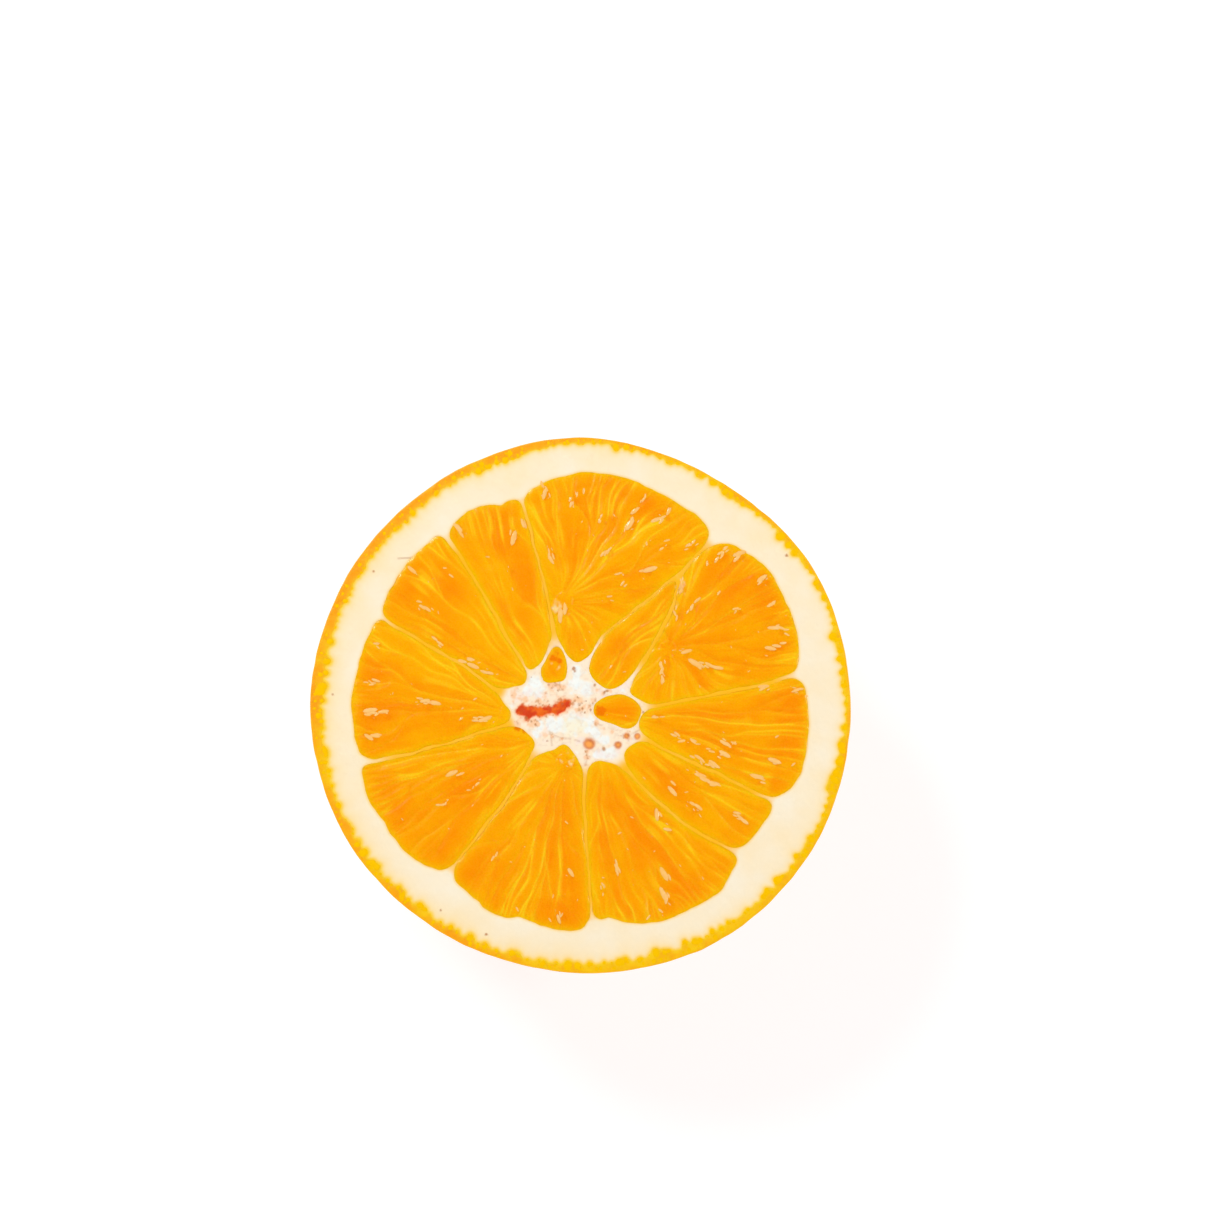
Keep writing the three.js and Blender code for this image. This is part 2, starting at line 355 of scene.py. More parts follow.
def makeLumpTree():
    # small low lumps, one on each point, turned and stretched by the points' own values
    sockets = {
        "Length": 1.0, "Width": 0.3, "Height": 0.15, "Uneven": 0.3, "Sides": 8, "Rings": 5, "Seed": 1,
    }
    tree, inside, outside = newTree("smallLumps", sockets)
    new, out = tree.nodes.new, inside.outputs
    ball = new("GeometryNodeMeshUVSphere")
    plug(tree, ball, Radius=0.5, Segments=out["Sides"], Rings=out["Rings"])
    chance = new("FunctionNodeRandomValue")
    chance.data_type = "FLOAT"
    low = mathNode(tree, "SUBTRACT", 1.0, out["Uneven"])
    high = mathNode(tree, "ADD", 1.0, out["Uneven"])
    plug(tree, chance, n2=low, n3=high, Seed=out["Seed"])
    stretch = mathNode(tree, "MULTIPLY", chance.outputs[1], namedValue(tree, "size"))
    sizes = [mathNode(tree, "MULTIPLY", stretch, out[key]) for key in ("Length", "Width", "Height")]
    scale = plug(tree, new("ShaderNodeCombineXYZ"), X=sizes[0], Y=sizes[1], Z=sizes[2])
    turn = plug(tree, new("ShaderNodeCombineXYZ"), Z=namedValue(tree, "turn"))
    rotate = plug(tree, new("FunctionNodeEulerToRotation"), Euler=turn.outputs[0])
    lumps = plug(tree, new("GeometryNodeInstanceOnPoints"), Points=out["Geometry"],
                 Instance=ball.outputs["Mesh"], Rotation=rotate.outputs[0], Scale=scale.outputs[0])
    finishTree(tree, lumps.outputs[0], out["Material"], outside)
    return tree


def makePoreTree():
    # presses pores into a surface, over an even random scatter, where the value "calm" lets them
    closest, smallest, largest = 0.8, 0.45, 1.25  # shares of the spacing, and of the pores' depth
    mostDense = 4e6  # points on a square metre, before those too close together go
    sockets = {"Spacing": 1.8 * mm, "Depth": 0.15 * mm, "Width": 0.45 * mm, "Seed": 1}
    tree, inside, outside = newTree("skinPores", sockets)
    new, out = tree.nodes.new, inside.outputs
    scatter = new("GeometryNodeDistributePointsOnFaces")
    scatter.distribute_method = "POISSON"
    apart = mathNode(tree, "MULTIPLY", out["Spacing"], closest)
    plug(tree, scatter, Mesh=out["Geometry"], Distance_Min=apart, Density_Max=mostDense, Seed=out["Seed"])
    nearest = plug(tree, new("GeometryNodeSampleNearest"), Geometry=scatter.outputs["Points"])
    here = new("GeometryNodeInputPosition").outputs[0]
    place = new("GeometryNodeSampleIndex")
    place.data_type = "FLOAT_VECTOR"
    plug(tree, place, Geometry=scatter.outputs["Points"], Value=here, Index=nearest.outputs["Index"])
    chance = new("FunctionNodeRandomValue")
    chance.data_type = "FLOAT"
    plug(tree, chance, n2=smallest, n3=largest, ID=nearest.outputs["Index"], Seed=out["Seed"])
    gap = new("ShaderNodeVectorMath")
    gap.operation = "DISTANCE"
    plug(tree, gap, n0=here, n1=place.outputs["Value"])
    share = mathNode(tree, "DIVIDE", gap.outputs["Value"], out["Width"])
    share = mathNode(tree, "DIVIDE", share, mathNode(tree, "SQRT", chance.outputs[1]))
    squared = mathNode(tree, "POWER", share, 2.0)
    pore = mathNode(tree, "EXPONENT", mathNode(tree, "MULTIPLY", squared, -1.0))
    pore = mathNode(tree, "MULTIPLY", pore, chance.outputs[1])
    pore = mathNode(tree, "MULTIPLY", pore, namedValue(tree, "calm"))
    drop = mathNode(tree, "MULTIPLY", mathNode(tree, "MULTIPLY", pore, out["Depth"]), -1.0)
    push = new("ShaderNodeVectorMath")
    push.operation = "SCALE"
    plug(tree, push, n0=new("GeometryNodeInputNormal").outputs[0], Scale=drop)
    store = new("GeometryNodeStoreNamedAttribute")
    plug(tree, store, Geometry=out["Geometry"], Name="pore", Value=pore)
    moved = plug(tree, new("GeometryNodeSetPosition"), Geometry=store.outputs[0], Offset=push.outputs[0])
    finishTree(tree, moved.outputs[0], out["Material"], outside)
    return tree


lumpTree = makeLumpTree()
poreTree = makePoreTree()


def pointCloud(name, places, sizes, turns):
    mesh = bpy.data.meshes.new(name)
    mesh.vertices.add(len(places))
    mesh.vertices.foreach_set("co", (np.asarray(places) * mm).ravel())
    storeValue(mesh, "size", np.asarray(sizes))
    storeValue(mesh, "turn", np.asarray(turns))
    return mesh


def newMaterial(name):
    material = bpy.data.materials.new(name)
    material.use_nodes = True
    return material, material.node_tree, material.node_tree.nodes["Principled BSDF"]


def attribute(tree, name):
    node = tree.nodes.new("ShaderNodeAttribute")
    node.attribute_name = name
    return node.outputs["Fac"]


def mixed(tree, factor, base, top):
    node = tree.nodes.new("ShaderNodeMix")
    node.data_type = "RGBA"
    return plug(tree, node, n0=factor, n6=base, n7=top).outputs[2]


def colour(red, green, blue):
    # a colour as seen on a screen, from 0 to 255, as the shader wants it
    def linear(value):
        value /= 255
        return value / 12.92 if value <= 0.04045 else ((value + 0.055) / 1.055) ** 2.4
    return linear(red), linear(green), linear(blue), 1


def makeMottleGroup():
    # soft irregular patches, and a fine relief
    group = bpy.data.node_groups.new("softMottle", "ShaderNodeTree")
    sockets = {"Patch size": 4.0, "Contrast": 1.0, "Grain size": 0.4, "Grain depth": 0.02}
    for name, value in sockets.items():
        socket = group.interface.new_socket(name, in_out="INPUT", socket_type="NodeSocketFloat")
        socket.default_value = value
    group.interface.new_socket("Patches", in_out="OUTPUT", socket_type="NodeSocketFloat")
    group.interface.new_socket("Grain", in_out="OUTPUT", socket_type="NodeSocketFloat")
    group.interface.new_socket("Normal", in_out="OUTPUT", socket_type="NodeSocketVector")
    inside, outside = group.nodes.new("NodeGroupInput"), group.nodes.new("NodeGroupOutput")
    place = group.nodes.new("ShaderNodeTexCoord").outputs["Object"]
    noises = {}
    for key, detail in (("Patch size", 3.0), ("Grain size", 4.0)):
        scale = mathNode(group, "DIVIDE", 1 / mm, inside.outputs[key])
        noise = group.nodes.new("ShaderNodeTexNoise")
        noises[key] = plug(group, noise, Vector=place, Scale=scale, Detail=detail).outputs["Fac"]
    centred = mathNode(group, "SUBTRACT", noises["Patch size"], 0.5)
    patches = mathNode(group, "ADD", mathNode(group, "MULTIPLY", centred, inside.outputs["Contrast"]), 0.5)
    bump = group.nodes.new("ShaderNodeBump")
    height = mathNode(group, "MULTIPLY", noises["Grain size"], inside.outputs["Grain depth"])
    plug(group, bump, Strength=1.0, Distance=mm, Height=height)
    plug(group, outside, Patches=patches, Grain=noises["Grain size"], Normal=bump.outputs["Normal"])
    return group


mottleGroup = makeMottleGroup()


def addMottle(tree, shader, **values):
    node = tree.nodes.new("ShaderNodeGroup")
    node.node_tree = mottleGroup
    plug(tree, node, **values)
    tree.links.new(node.outputs["Normal"], shader.inputs["Normal"])
    return node.outputs["Patches"], node.outputs["Grain"]


def layered(tree, base, finish, names):
    # colours laid over the base, each where the mesh's value of the same name says
    for name in names:
        base = mixed(tree, attribute(tree, name), base, colour(*finish[name]))
    return base


def dressShader(tree, shader, finish, body, grain):
    # the shader's colour, its roughness, which the grain adds to, and its plain settings
    least, added = finish["roughness"]
    roughness = mathNode(tree, "MULTIPLY_ADD", grain, added, least)
    plug(tree, shader, Base_Color=body, Roughness=roughness, **finish["surface"])


pulpFinish = {
    "deep": (255, 144, 0), "bright": (255, 180, 0), "wallNear": (255, 193, 0), "sacLine": (255, 204, 26),
    # the torn colour is partly pale torn membrane and partly painted glints; the stain colour is rust and
    # also the painted shadows beside the scraps
    "tornAndGlint": (255, 214, 150), "stain": (242, 120, 0),
    "patchy": 0.25,
    "mottle": {"Patch size": 6.0, "Contrast": 1.2, "Grain size": 0.35, "Grain depth": 0.005},
    "roughness": (0.18, 0.2),
    "surface": {
        "IOR": 1.36, "Specular IOR Level": 0.35, "Coat Weight": 0.1, "Coat Roughness": 0.08,
        "Subsurface Weight": 0.35, "Subsurface Scale": 0.9 * mm, "Subsurface Radius": (1.0, 0.45, 0.06),
    },
}


def makePulpMaterial(finish):
    material, tree, shader = newMaterial("orangePulp")
    patches, grain = addMottle(tree, shader, **finish["mottle"])
    deep, bright = colour(*finish["deep"]), colour(*finish["bright"])
    flesh = mixed(tree, attribute(tree, "sacTone"), deep, bright)
    flesh = mixed(tree, mathNode(tree, "MULTIPLY", patches, finish["patchy"]), flesh, deep)
    flesh = layered(tree, flesh, finish, ("wallNear", "sacLine", "tornAndGlint", "stain"))
    dressShader(tree, shader, finish, flesh, grain)
    return material


pithFinish = {
    "cool": (248, 238, 218), "warm": (250, 228, 186), "core": (242, 246, 242), "coreTint": (246, 226, 220),
    "tissue": (252, 231, 204), "membrane": (255, 184, 10), "membraneEnd": (255, 208, 92),
    "rindTint": (255, 206, 60), "blush": (251, 203, 160), "stain": (240, 106, 0), "deepStain": (216, 60, 0),
    "heart": (255, 168, 78), "ring": (206, 112, 52), "speck": (186, 118, 60), "yolk": (248, 236, 202),
    "mottle": {"Patch size": 6.0, "Contrast": 1.5, "Grain size": 0.45, "Grain depth": 0.03},
    "roughness": (0.5, 0.25),
    "surface": {"Specular IOR Level": 0.28},
}


def makePithMaterial(finish):
    material, tree, shader = newMaterial("whitePith")
    patches, grain = addMottle(tree, shader, **finish["mottle"])
    body = mixed(tree, patches, colour(*finish["cool"]), colour(*finish["warm"]))
    body = layered(tree, body, finish, (
        "tissue", "core", "coreTint", "yolk", "membraneEnd", "membrane", "rindTint", "blush", "stain",
        "deepStain", "heart", "ring", "speck"))
    dressShader(tree, shader, finish, body, grain)
    return material


skinFinish = {
    "deep": (253, 116, 0), "bright": (255, 146, 0), "pore": (238, 92, 0), "stemNear": (255, 160, 20),
    "cutNear": (250, 190, 24), "speck": (150, 84, 30), "scar": (206, 166, 86), "scarPit": (104, 74, 40),
    # painted shade in the pores: the pore colour darkens the skin as deep as each pore sinks
    "poreShade": 0.75,
    "mottle": {"Patch size": 9.0, "Contrast": 1.8, "Grain size": 0.3, "Grain depth": 0.02},
    "roughness": (0.26, 0.2),
    "surface": {
        "Specular IOR Level": 0.2,
        "Subsurface Weight": 0.15, "Subsurface Scale": 0.8 * mm, "Subsurface Radius": (1.0, 0.4, 0.1),
    },
}


def makeSkinMaterial(finish):
    material, tree, shader = newMaterial("pittedSkin")
    patches, grain = addMottle(tree, shader, **finish["mottle"])
    skin = mixed(tree, patches, colour(*finish["deep"]), colour(*finish["bright"]))
    # painted shade, darker the deeper each pore sinks
    paintedPoreShade = mathNode(tree, "MULTIPLY", attribute(tree, "pore"), finish["poreShade"])
    skin = mixed(tree, paintedPoreShade, skin, colour(*finish["pore"]))
    skin = layered(tree, skin, finish, ("stemNear", "cutNear", "speck", "scar", "scarPit"))
    dressShader(tree, shader, finish, skin, grain)
    return material


zestFinish = {
    "gland": (248, 176, 0), "light": (254, 208, 0), "skinEdge": (242, 184, 6), "warmSide": (250, 152, 8),
    "pithEdge": (255, 208, 40),
    "mottle": {"Patch size": 1.5, "Contrast": 2.2, "Grain size": 0.3, "Grain depth": 0.02},
    "roughness": (0.35, 0.2),
    "surface": {
        "Specular IOR Level": 0.3,
        "Subsurface Weight": 0.25, "Subsurface Scale": 0.6 * mm, "Subsurface Radius": (1.0, 0.5, 0.1),
    },
}


def makeZestMaterial(finish):
    material, tree, shader = newMaterial("cutZest")
    patches, grain = addMottle(tree, shader, **finish["mottle"])
    zest = mixed(tree, patches, colour(*finish["gland"]), colour(*finish["light"]))
    zest = layered(tree, zest, finish, ("skinEdge", "warmSide", "pithEdge"))
    dressShader(tree, shader, finish, zest, grain)
    return material


scrapFinish = {
    # middle is a painted highlight where each lump faces up; rim is like what the lump lies on
    "middle": (255, 205, 130), "rim": (255, 172, 12),
    "paintedHighlightFalloff": 3.0,  # the more, the smaller the painted highlight on each lump's top
    "patchy": 0.4,
    "mottle": {"Patch size": 1.2, "Contrast": 2.0, "Grain size": 0.3, "Grain depth": 0.01},
    "roughness": (0.12, 0.15),
    "surface": {"Coat Weight": 0.5, "Coat Roughness": 0.06},
}
glandFinish = scrapFinish | {
    # a fainter painted highlight where each gland faces up
    "middle": (255, 200, 0), "rim": (252, 182, 0),
    "surface": {"Coat Weight": 0.1, "Coat Roughness": 0.06},
}


def makeLumpMaterialWithPaintedHighlight(name, finish):
    # small wet lumps: a painted highlight, paler where they face up, and like what they lie on at their
    # rims
    material, tree, shader = newMaterial(name)
    patches, grain = addMottle(tree, shader, **finish["mottle"])
    middle, rim = colour(*finish["middle"]), colour(*finish["rim"])
    # the painted highlight: paler the more the surface faces up
    faces = tree.nodes.new("ShaderNodeTexCoord").outputs["Normal"]
    upward = plug(tree, tree.nodes.new("ShaderNodeSeparateXYZ"), Vector=faces).outputs["Z"]
    away = mathNode(tree, "MULTIPLY", mathNode(tree, "SUBTRACT", 1.0, upward), finish["paintedHighlightFalloff"])
    away.node.use_clamp = True
    patches = mathNode(tree, "MULTIPLY", patches, finish["patchy"])
    body = mixed(tree, patches, mixed(tree, away, middle, rim), rim)
    dressShader(tree, shader, finish, body, grain)
    return material


pulpMaterial = makePulpMaterial(pulpFinish)
pithMaterial = makePithMaterial(pithFinish)
skinMaterial = makeSkinMaterial(skinFinish)
zestMaterial = makeZestMaterial(zestFinish)
scrapMaterial = makeLumpMaterialWithPaintedHighlight("wetScraps", scrapFinish)
glandMaterial = makeLumpMaterialWithPaintedHighlight("oilGlands", glandFinish)
print("materials done")


# the walls between the segments, which set where the pulp ends
wallShape = {
    "grow": 0.2,  # the pulp fills the gap that the solids keep
    "thickness": 0.42,
    "uneven": 0.12,
    "thinNode": "segment_02",
    "thinThickness": 0.28,
    "thinReach": 2.0,  # walls this close to the thin-walled segment are its own
    "moved": (0.1, 0.42),  # the least that an outline grows, and the most past the gap's own share
    "sides": (1.9, 3.2),  # gaps wider than this are pith, not wall
    "evened": 9,  # the growth is averaged over this many points each way
    "waver": 0.17,
    "spacing": 0.16,
    "ringCorners": 8,  # a level of a solid with more corners than this is one of its rings
    "underCut": 0.1,  # the rings that count lie at least this far down
}


def readSegment(node):
    # the outline at the cut, and the size and middle of each section further down
    points, triangles = nodeTriangles(node)
    heights, counts = np.unique(points[:, 2], return_counts=True)
    rings = (counts > wallShape["ringCorners"]) & (heights < cutHeight - wallShape["underCut"])
    levels = heights[rings]
    top = ringAtLevel(points, triangles, levels[-1])
    middle, size = (top.min(axis=0) + top.max(axis=0)) / 2, np.ptp(top, axis=0)
    sections = []
    for level in levels[:-1]:
        at = points[np.abs(points[:, 2] - level) < sameLevel][:, :2]
        share = np.ptp(at, axis=0).sum() / size.sum()
        sections.append((level, share, (at.min(axis=0) + at.max(axis=0)) / 2))
    return {"corners": top, "middle": middle, "sections": sections[::-1]}


def fitOutlines():
    # grows each outline towards its neighbours, until only a thin wall is left between them
    shape = wallShape
    least, most = shape["moved"]
    loops = {node: smoothLoop(segments[node]["corners"], shape["spacing"]) for node in segmentNodes}
    fitted = {}
    for node, loop in loops.items():
        others = treeOf(np.vstack([loops[other] for other in segmentNodes if other != node]))
        gap = distanceTo(others, loop)
        thin = shape["thickness"] + shape["uneven"] * softNoise(loop, 3.0, 60)
        fromThin = distanceTo(treeOf(loops[shape["thinNode"]]), loop)
        thin = np.where(fromThin < shape["thinReach"], shape["thinThickness"], thin)
        wanted = np.clip((gap - thin) / 2, least, shape["grow"] + most)
        window = 1 - smoothStep(*shape["sides"], gap)
        growth = rolling(shape["grow"] + (wanted - shape["grow"]) * window, shape["evened"])
        fitted[node] = grown(loop, growth)
        waver = [layeredNoise(loop, 2.6, seed, 2) for seed in (65, 66)]
        fitted[node] += shape["waver"] * np.column_stack(waver)
    return fitted


segments = {node: readSegment(node) for node in segmentNodes}
outlines = fitOutlines()
print("outlines done")


pulpShape = {
    "spacing": 0.155,
    "wallSpacing": 0.9,  # between the points of its sides
    "sideGap": 0.05,  # between its sides and their pocket
    "firstRing": 1,  # how far under the cut the first ring of its sides lies
    "edgeDip": 0.06,  # the pulp meets its wall this far under the cut
    "settle": 0.3,  # how far from its wall it is nearly level, with its lines nearly full
    "swell": 0.1,
    "crown": 0.1,
    "sacRelief": 0.085,
    "toneRelief": 0.04,
    "fibreRelief": 0.014,
    "lumpRelief": 0.06,
    "tornRelief": 0.1,
    "navelRelief": 0.5,  # the share of all relief that the two small segments have
    "lineWidth": 0.13,
    "hazeWidth": 0.45,
    "toneWidth": 1.8,
    "firstVeins": 6.5,  # how far apart the first borders between sacs are, at the segment's outer end
    "branchFrom": ((0.12, 0.42), (0.35, 0.75), (0.45, 0.85)),  # where later ones leave, by its length
    "unbranched": 0.25,
    "parting": 7.0,  # how far out a later one has fully left its own
    "wander": 0.45,
    "bend": 0.8,
    "overlap": 0.1,  # the fan of borders reaches this much past the outline each way, in radians
    "lines": {  # how strongly each shows, and in unclear places how strongly at the least
        "border": (0.7, 0.15), "haze": (0.7, 0.3), "fibre": 0.5,
    },
    "hazeShare": 0.35,
    "wallGlow": (0.85, 0.75),  # how strongly the wall's colour reaches into the pulp, and how far
    # how strongly the pale torn colour shows, partly painted glints
    "tornAndGlintShare": 0.9,
    "rust": 0.9,
    "paintedShadowShare": 0.32,  # how strongly the painted shadow beside the scraps shows
    "tone": {  # how bright it is on the whole, and how much each thing adds
        "middle": 0.47, "side": 0.22, "streak": 0.3, "fibre": 0.1, "patch": 0.14, "grain": 0.11, "tip": 0.3,
        "end": -0.28,
    },
    # for each segment, how much brighter or deeper it is than the others, and where its sacs fan out from:
    # a place, or a share of its length from its inner tip
    "looks": {
        "segment_01": (0.12, (-1.8, 15.8)), "segment_02": (-0.1, -0.6), "segment_03": (0.0, (12.6, 7.6)),
        "segment_04": (-0.1, -0.1), "segment_05": (-0.1, -0.6), "segment_06": (0.0, -0.05),
        "segment_07": (0.02, 0.1), "segment_08": (0.0, 0.0), "segment_09": (0.06, 0.0),
        "segment_10": (0.0, -0.1), "segment_11": (-0.02, -0.3), "navel_segment_1": (0.1, -0.6),
        "navel_segment_2": (-0.3, -0.6),
    },
    "stains": {  # rust-coloured places: x, y, radius
        "segment_08": [(-9.6, -3.7, 0.6), (-8.7, -3.9, 0.5)],
        "navel_segment_1": [(-4.1, 7.0, 0.9), (-3.4, 6.6, 0.5)],
        "navel_segment_2": [(2.9, -1.2, 0.8)],
    },
    "tornAndGlint": [  # pale torn places, partly torn membrane and partly painted glints: x, y, radius
        (-2.6, -8.3, 0.9), (-1.6, -7.6, 0.9), (-1.4, -8.8, 0.8), (-4.4, 5.9, 0.5), (-3.6, 5.6, 0.5),
        (-3.9, 14.9, 0.9), (-2.2, 14.0, 0.6), (15.0, 18.2, 0.8), (15.4, 17.0, 0.6), (14.4, 15.2, 0.5),
    ],
}

# wet scraps of sac skin that the knife left, in short rows along the sacs
scrapShape = {
    "lump": {"Length": 1.5 * mm, "Width": 0.5 * mm, "Height": 0.15 * mm, "Uneven": 0.6, "Seed": 4},
    "sunk": 0.01,  # how far each sits in the pulp
    "sizes": (0.35, 1.2),
    "lean": (0.12, 0.3),  # how far a row, and each scrap in it, turns from the sacs, in radians
    "scatter": (0.25, 0.3),  # how far each lies off its place, along and across the row
    "shadow": (0.5, -0.45),  # where a painted shadow beside a row deepens the pulp's colour
    "shadowSize": (0.3, 0.05),  # the radius there, and how much each scrap of the row adds
    "dropPitch": 4.6,  # how far apart single small drops lie
    "dropSizes": (0.2, 0.5),
    "dropMargin": 0.8,  # how far they keep from the walls
    "rows": [  # x, y, length of the row, how many
        (-5.6, 32.4, 2.2, 9), (-1.3, 31.3, 2.6, 7), (3.0, 28.2, 0.8, 3), (7.4, 27.8, 3.2, 8),
        (9.3, 31.6, 1.2, 3), (12.5, 28.8, 2.8, 5), (12.9, 24.4, 1.0, 3), (16.6, 24.3, 2.0, 5),
        (3.9, 23.4, 1.8, 7), (6.2, 20.1, 0.6, 2), (10.0, 20.4, 0.8, 2), (3.9, 15.9, 0.5, 3),
        (21.5, 23.0, 1.8, 9), (24.3, 22.8, 1.5, 4), (28.0, 19.0, 1.8, 4), (15.1, 18.0, 2.0, 8),
        (14.5, 13.9, 2.6, 6), (17.0, 15.2, 1.5, 4), (23.7, 14.4, 0.8, 3), (28.8, 15.3, 0.6, 2),
        (30.2, 11.4, 2.2, 5), (29.9, 9.0, 1.2, 4), (15.4, 8.0, 1.0, 3), (19.0, 5.7, 3.6, 9),
        (12.2, 4.9, 2.4, 8), (27.9, 2.7, 1.2, 5), (33.2, 1.7, 1.2, 6), (11.4, -2.1, 0.9, 3),
        (15.8, -5.3, 3.8, 8), (20.7, -7.4, 2.6, 7), (22.5, -6.0, 1.8, 5), (18.7, -8.9, 3.6, 8),
        (29.2, -8.7, 0.7, 2), (26.8, -11.4, 1.8, 4), (19.2, -11.4, 4.0, 8), (24.7, -12.6, 3.0, 6),
        (13.8, -12.3, 0.7, 2), (16.9, -15.7, 2.8, 7), (24.0, -17.0, 2.0, 6), (11.3, -16.8, 0.8, 3),
        (13.0, -18.9, 0.9, 3), (12.9, -25.9, 0.8, 3), (5.2, -24.8, 1.6, 5), (3.0, -28.0, 1.2, 4),
        (13.0, -29.6, 1.2, 4), (-2.0, -25.9, 0.6, 2), (-3.2, -32.0, 1.2, 5), (-13.3, -23.2, 0.8, 3),
        (-20.9, -15.0, 1.0, 4), (-16.3, -12.5, 1.6, 5), (-19.0, -10.8, 1.4, 3), (-23.5, 0.2, 3.0, 8),
        (-32.1, -1.5, 1.4, 6), (-15.5, -2.4, 1.8, 8), (-32.0, 3.3, 1.6, 5), (-31.1, 9.3, 0.8, 3),
        (-21.9, 9.3, 0.8, 3), (-16.8, 6.4, 2.0, 5), (-14.6, 5.1, 0.7, 3), (-24.0, 14.3, 1.8, 5),
        (-18.5, 26.5, 1.6, 7), (-8.9, 27.8, 0.9, 4), (-10.5, 25.4, 1.2, 3), (-4.8, 23.0, 2.4, 6),
        (-11.0, 20.6, 0.8, 2), (-31.8, -5.0, 1.5, 5), (-25.4, 20.0, 0.6, 2), (-29.7, -1.6, 1.0, 3),
        (-2.6, 14.3, 1.8, 5),
    ],
}


def branchVeins(draw, reach, low, high):
    # borders between juice sacs, each (angle, distance where it starts, the vein it leaves or None)
    shape = pulpShape
    step = shape["firstVeins"] / reach
    count = math.ceil((high - low) / step)
    veins = [(low + (k + draw.uniform(-0.4, 0.4)) * step, 0, None) for k in range(count)]
    for nearest, furthest in shape["branchFrom"]:
        order = sorted(range(len(veins)), key=lambda k: veins[k][0])
        for left, right in zip(order, order[1:]):
            if draw.uniform() < shape["unbranched"]:
                continue
            parent = int(draw.choice((left, right)))
            angle = veins[left][0] + (veins[right][0] - veins[left][0]) * draw.uniform(0.35, 0.65)
            start = max(draw.uniform(nearest, furthest) * reach, veins[parent][1] + 2)
            veins.append((angle, start, parent))
    return veins


def sacPattern(node, points, outline, seed):
    # juice sacs fan out from a point near the segment's inner tip, and their borders branch like veins
    shape = pulpShape
    draw = np.random.default_rng(seed)
    tip = outline[np.argmin(np.linalg.norm(outline, axis=1))]
    heading = outline.mean(axis=0) - tip
    heading /= np.linalg.norm(heading)
    across = np.array([-heading[1], heading[0]])
    length = ((outline - tip) @ heading).max()
    fan = shape["looks"][node][1]
    fan = tip + heading * length * fan if np.isscalar(fan) else np.array(fan)
    fans[node] = fan

    def polar(places):
        away = places - fan
        return np.linalg.norm(away, axis=1), np.arctan2(away @ across, away @ heading)

    reach, turned = (values.max() for values in map(np.abs, polar(outline)))
    bend = np.column_stack([layeredNoise(points, 8, seed + 5, 2), layeredNoise(points, 8, seed + 9, 2)])
    radius, angle = polar(points + bend * shape["bend"])
    edge = np.full(len(points), far)
    tone, line, haze = np.zeros((3, len(points)))
    paths = []
    veins = branchVeins(draw, reach, -turned - shape["overlap"], turned + shape["overlap"])
    for number, (veinAngle, start, parent) in enumerate(veins):
        wander = softNoise(np.column_stack([radius, np.full(len(points), number * 37.0)]), 4.5, seed + 70)
        path = veinAngle + shape["wander"] * wander / np.maximum(radius, 2)
        if parent is not None:
            parted = smoothStep(start, start + shape["parting"], radius)
            path = paths[parent] + (path - paths[parent]) * parted
        paths.append(path)
        side = np.maximum(radius, 0.5) * ((angle - path + math.pi) % (2 * math.pi) - math.pi)
        there = smoothStep(start, start + 1.5, radius)
        edge = np.minimum(edge, np.abs(side) + far * (1 - there))
        strength = draw.uniform(0.15, 1) * there
        line = np.maximum(line, strength * np.exp(-(side / shape["lineWidth"]) ** 2))
        haze = np.maximum(haze, strength * np.exp(-np.abs(side) / shape["hazeWidth"]))
        tone += draw.uniform(-1, 1) * np.sign(side) * np.exp(-np.abs(side) / shape["toneWidth"]) * there
    flow = np.column_stack([angle * 16, radius / 5])
    return {
        "edge": edge,
        "tone": np.clip(tone, -1, 1),
        "line": line,
        "haze": haze,
        "outer": (points - tip) @ heading / length,
        "radius": radius,
        "fibre": softNoise(flow / (0.45, 1.0), 1.0, seed + 21),
        "streak": softNoise(flow / (2.4, 1.4), 1.0, seed + 33),
    }


def pulpHeight(node, points, inner, sacs, tornAndGlint, seed):
    # the cut surface: it swells from its wall, and the sacs stand up a little between their borders
    shape = pulpShape
    settle = 1 - np.exp(-inner / shape["settle"])
    rounded = smoothStep(0, 0.7, sacs["edge"])
    height = cutHeight - shape["edgeDip"] + shape["swell"] * settle
    height += shape["crown"] * (1 - np.exp(-inner / 3))
    relief = shape["sacRelief"] * (rounded - 0.8)
    relief += shape["toneRelief"] * sacs["tone"]
    relief += shape["fibreRelief"] * sacs["fibre"]
    relief += shape["lumpRelief"] * layeredNoise(points, 2.2, seed + 3, 2)
    relief += tornAndGlint * shape["tornRelief"] * layeredNoise(points, 0.7, seed + 4, 2)
    return height + relief * settle * (shape["navelRelief"] if "navel" in node else 1)


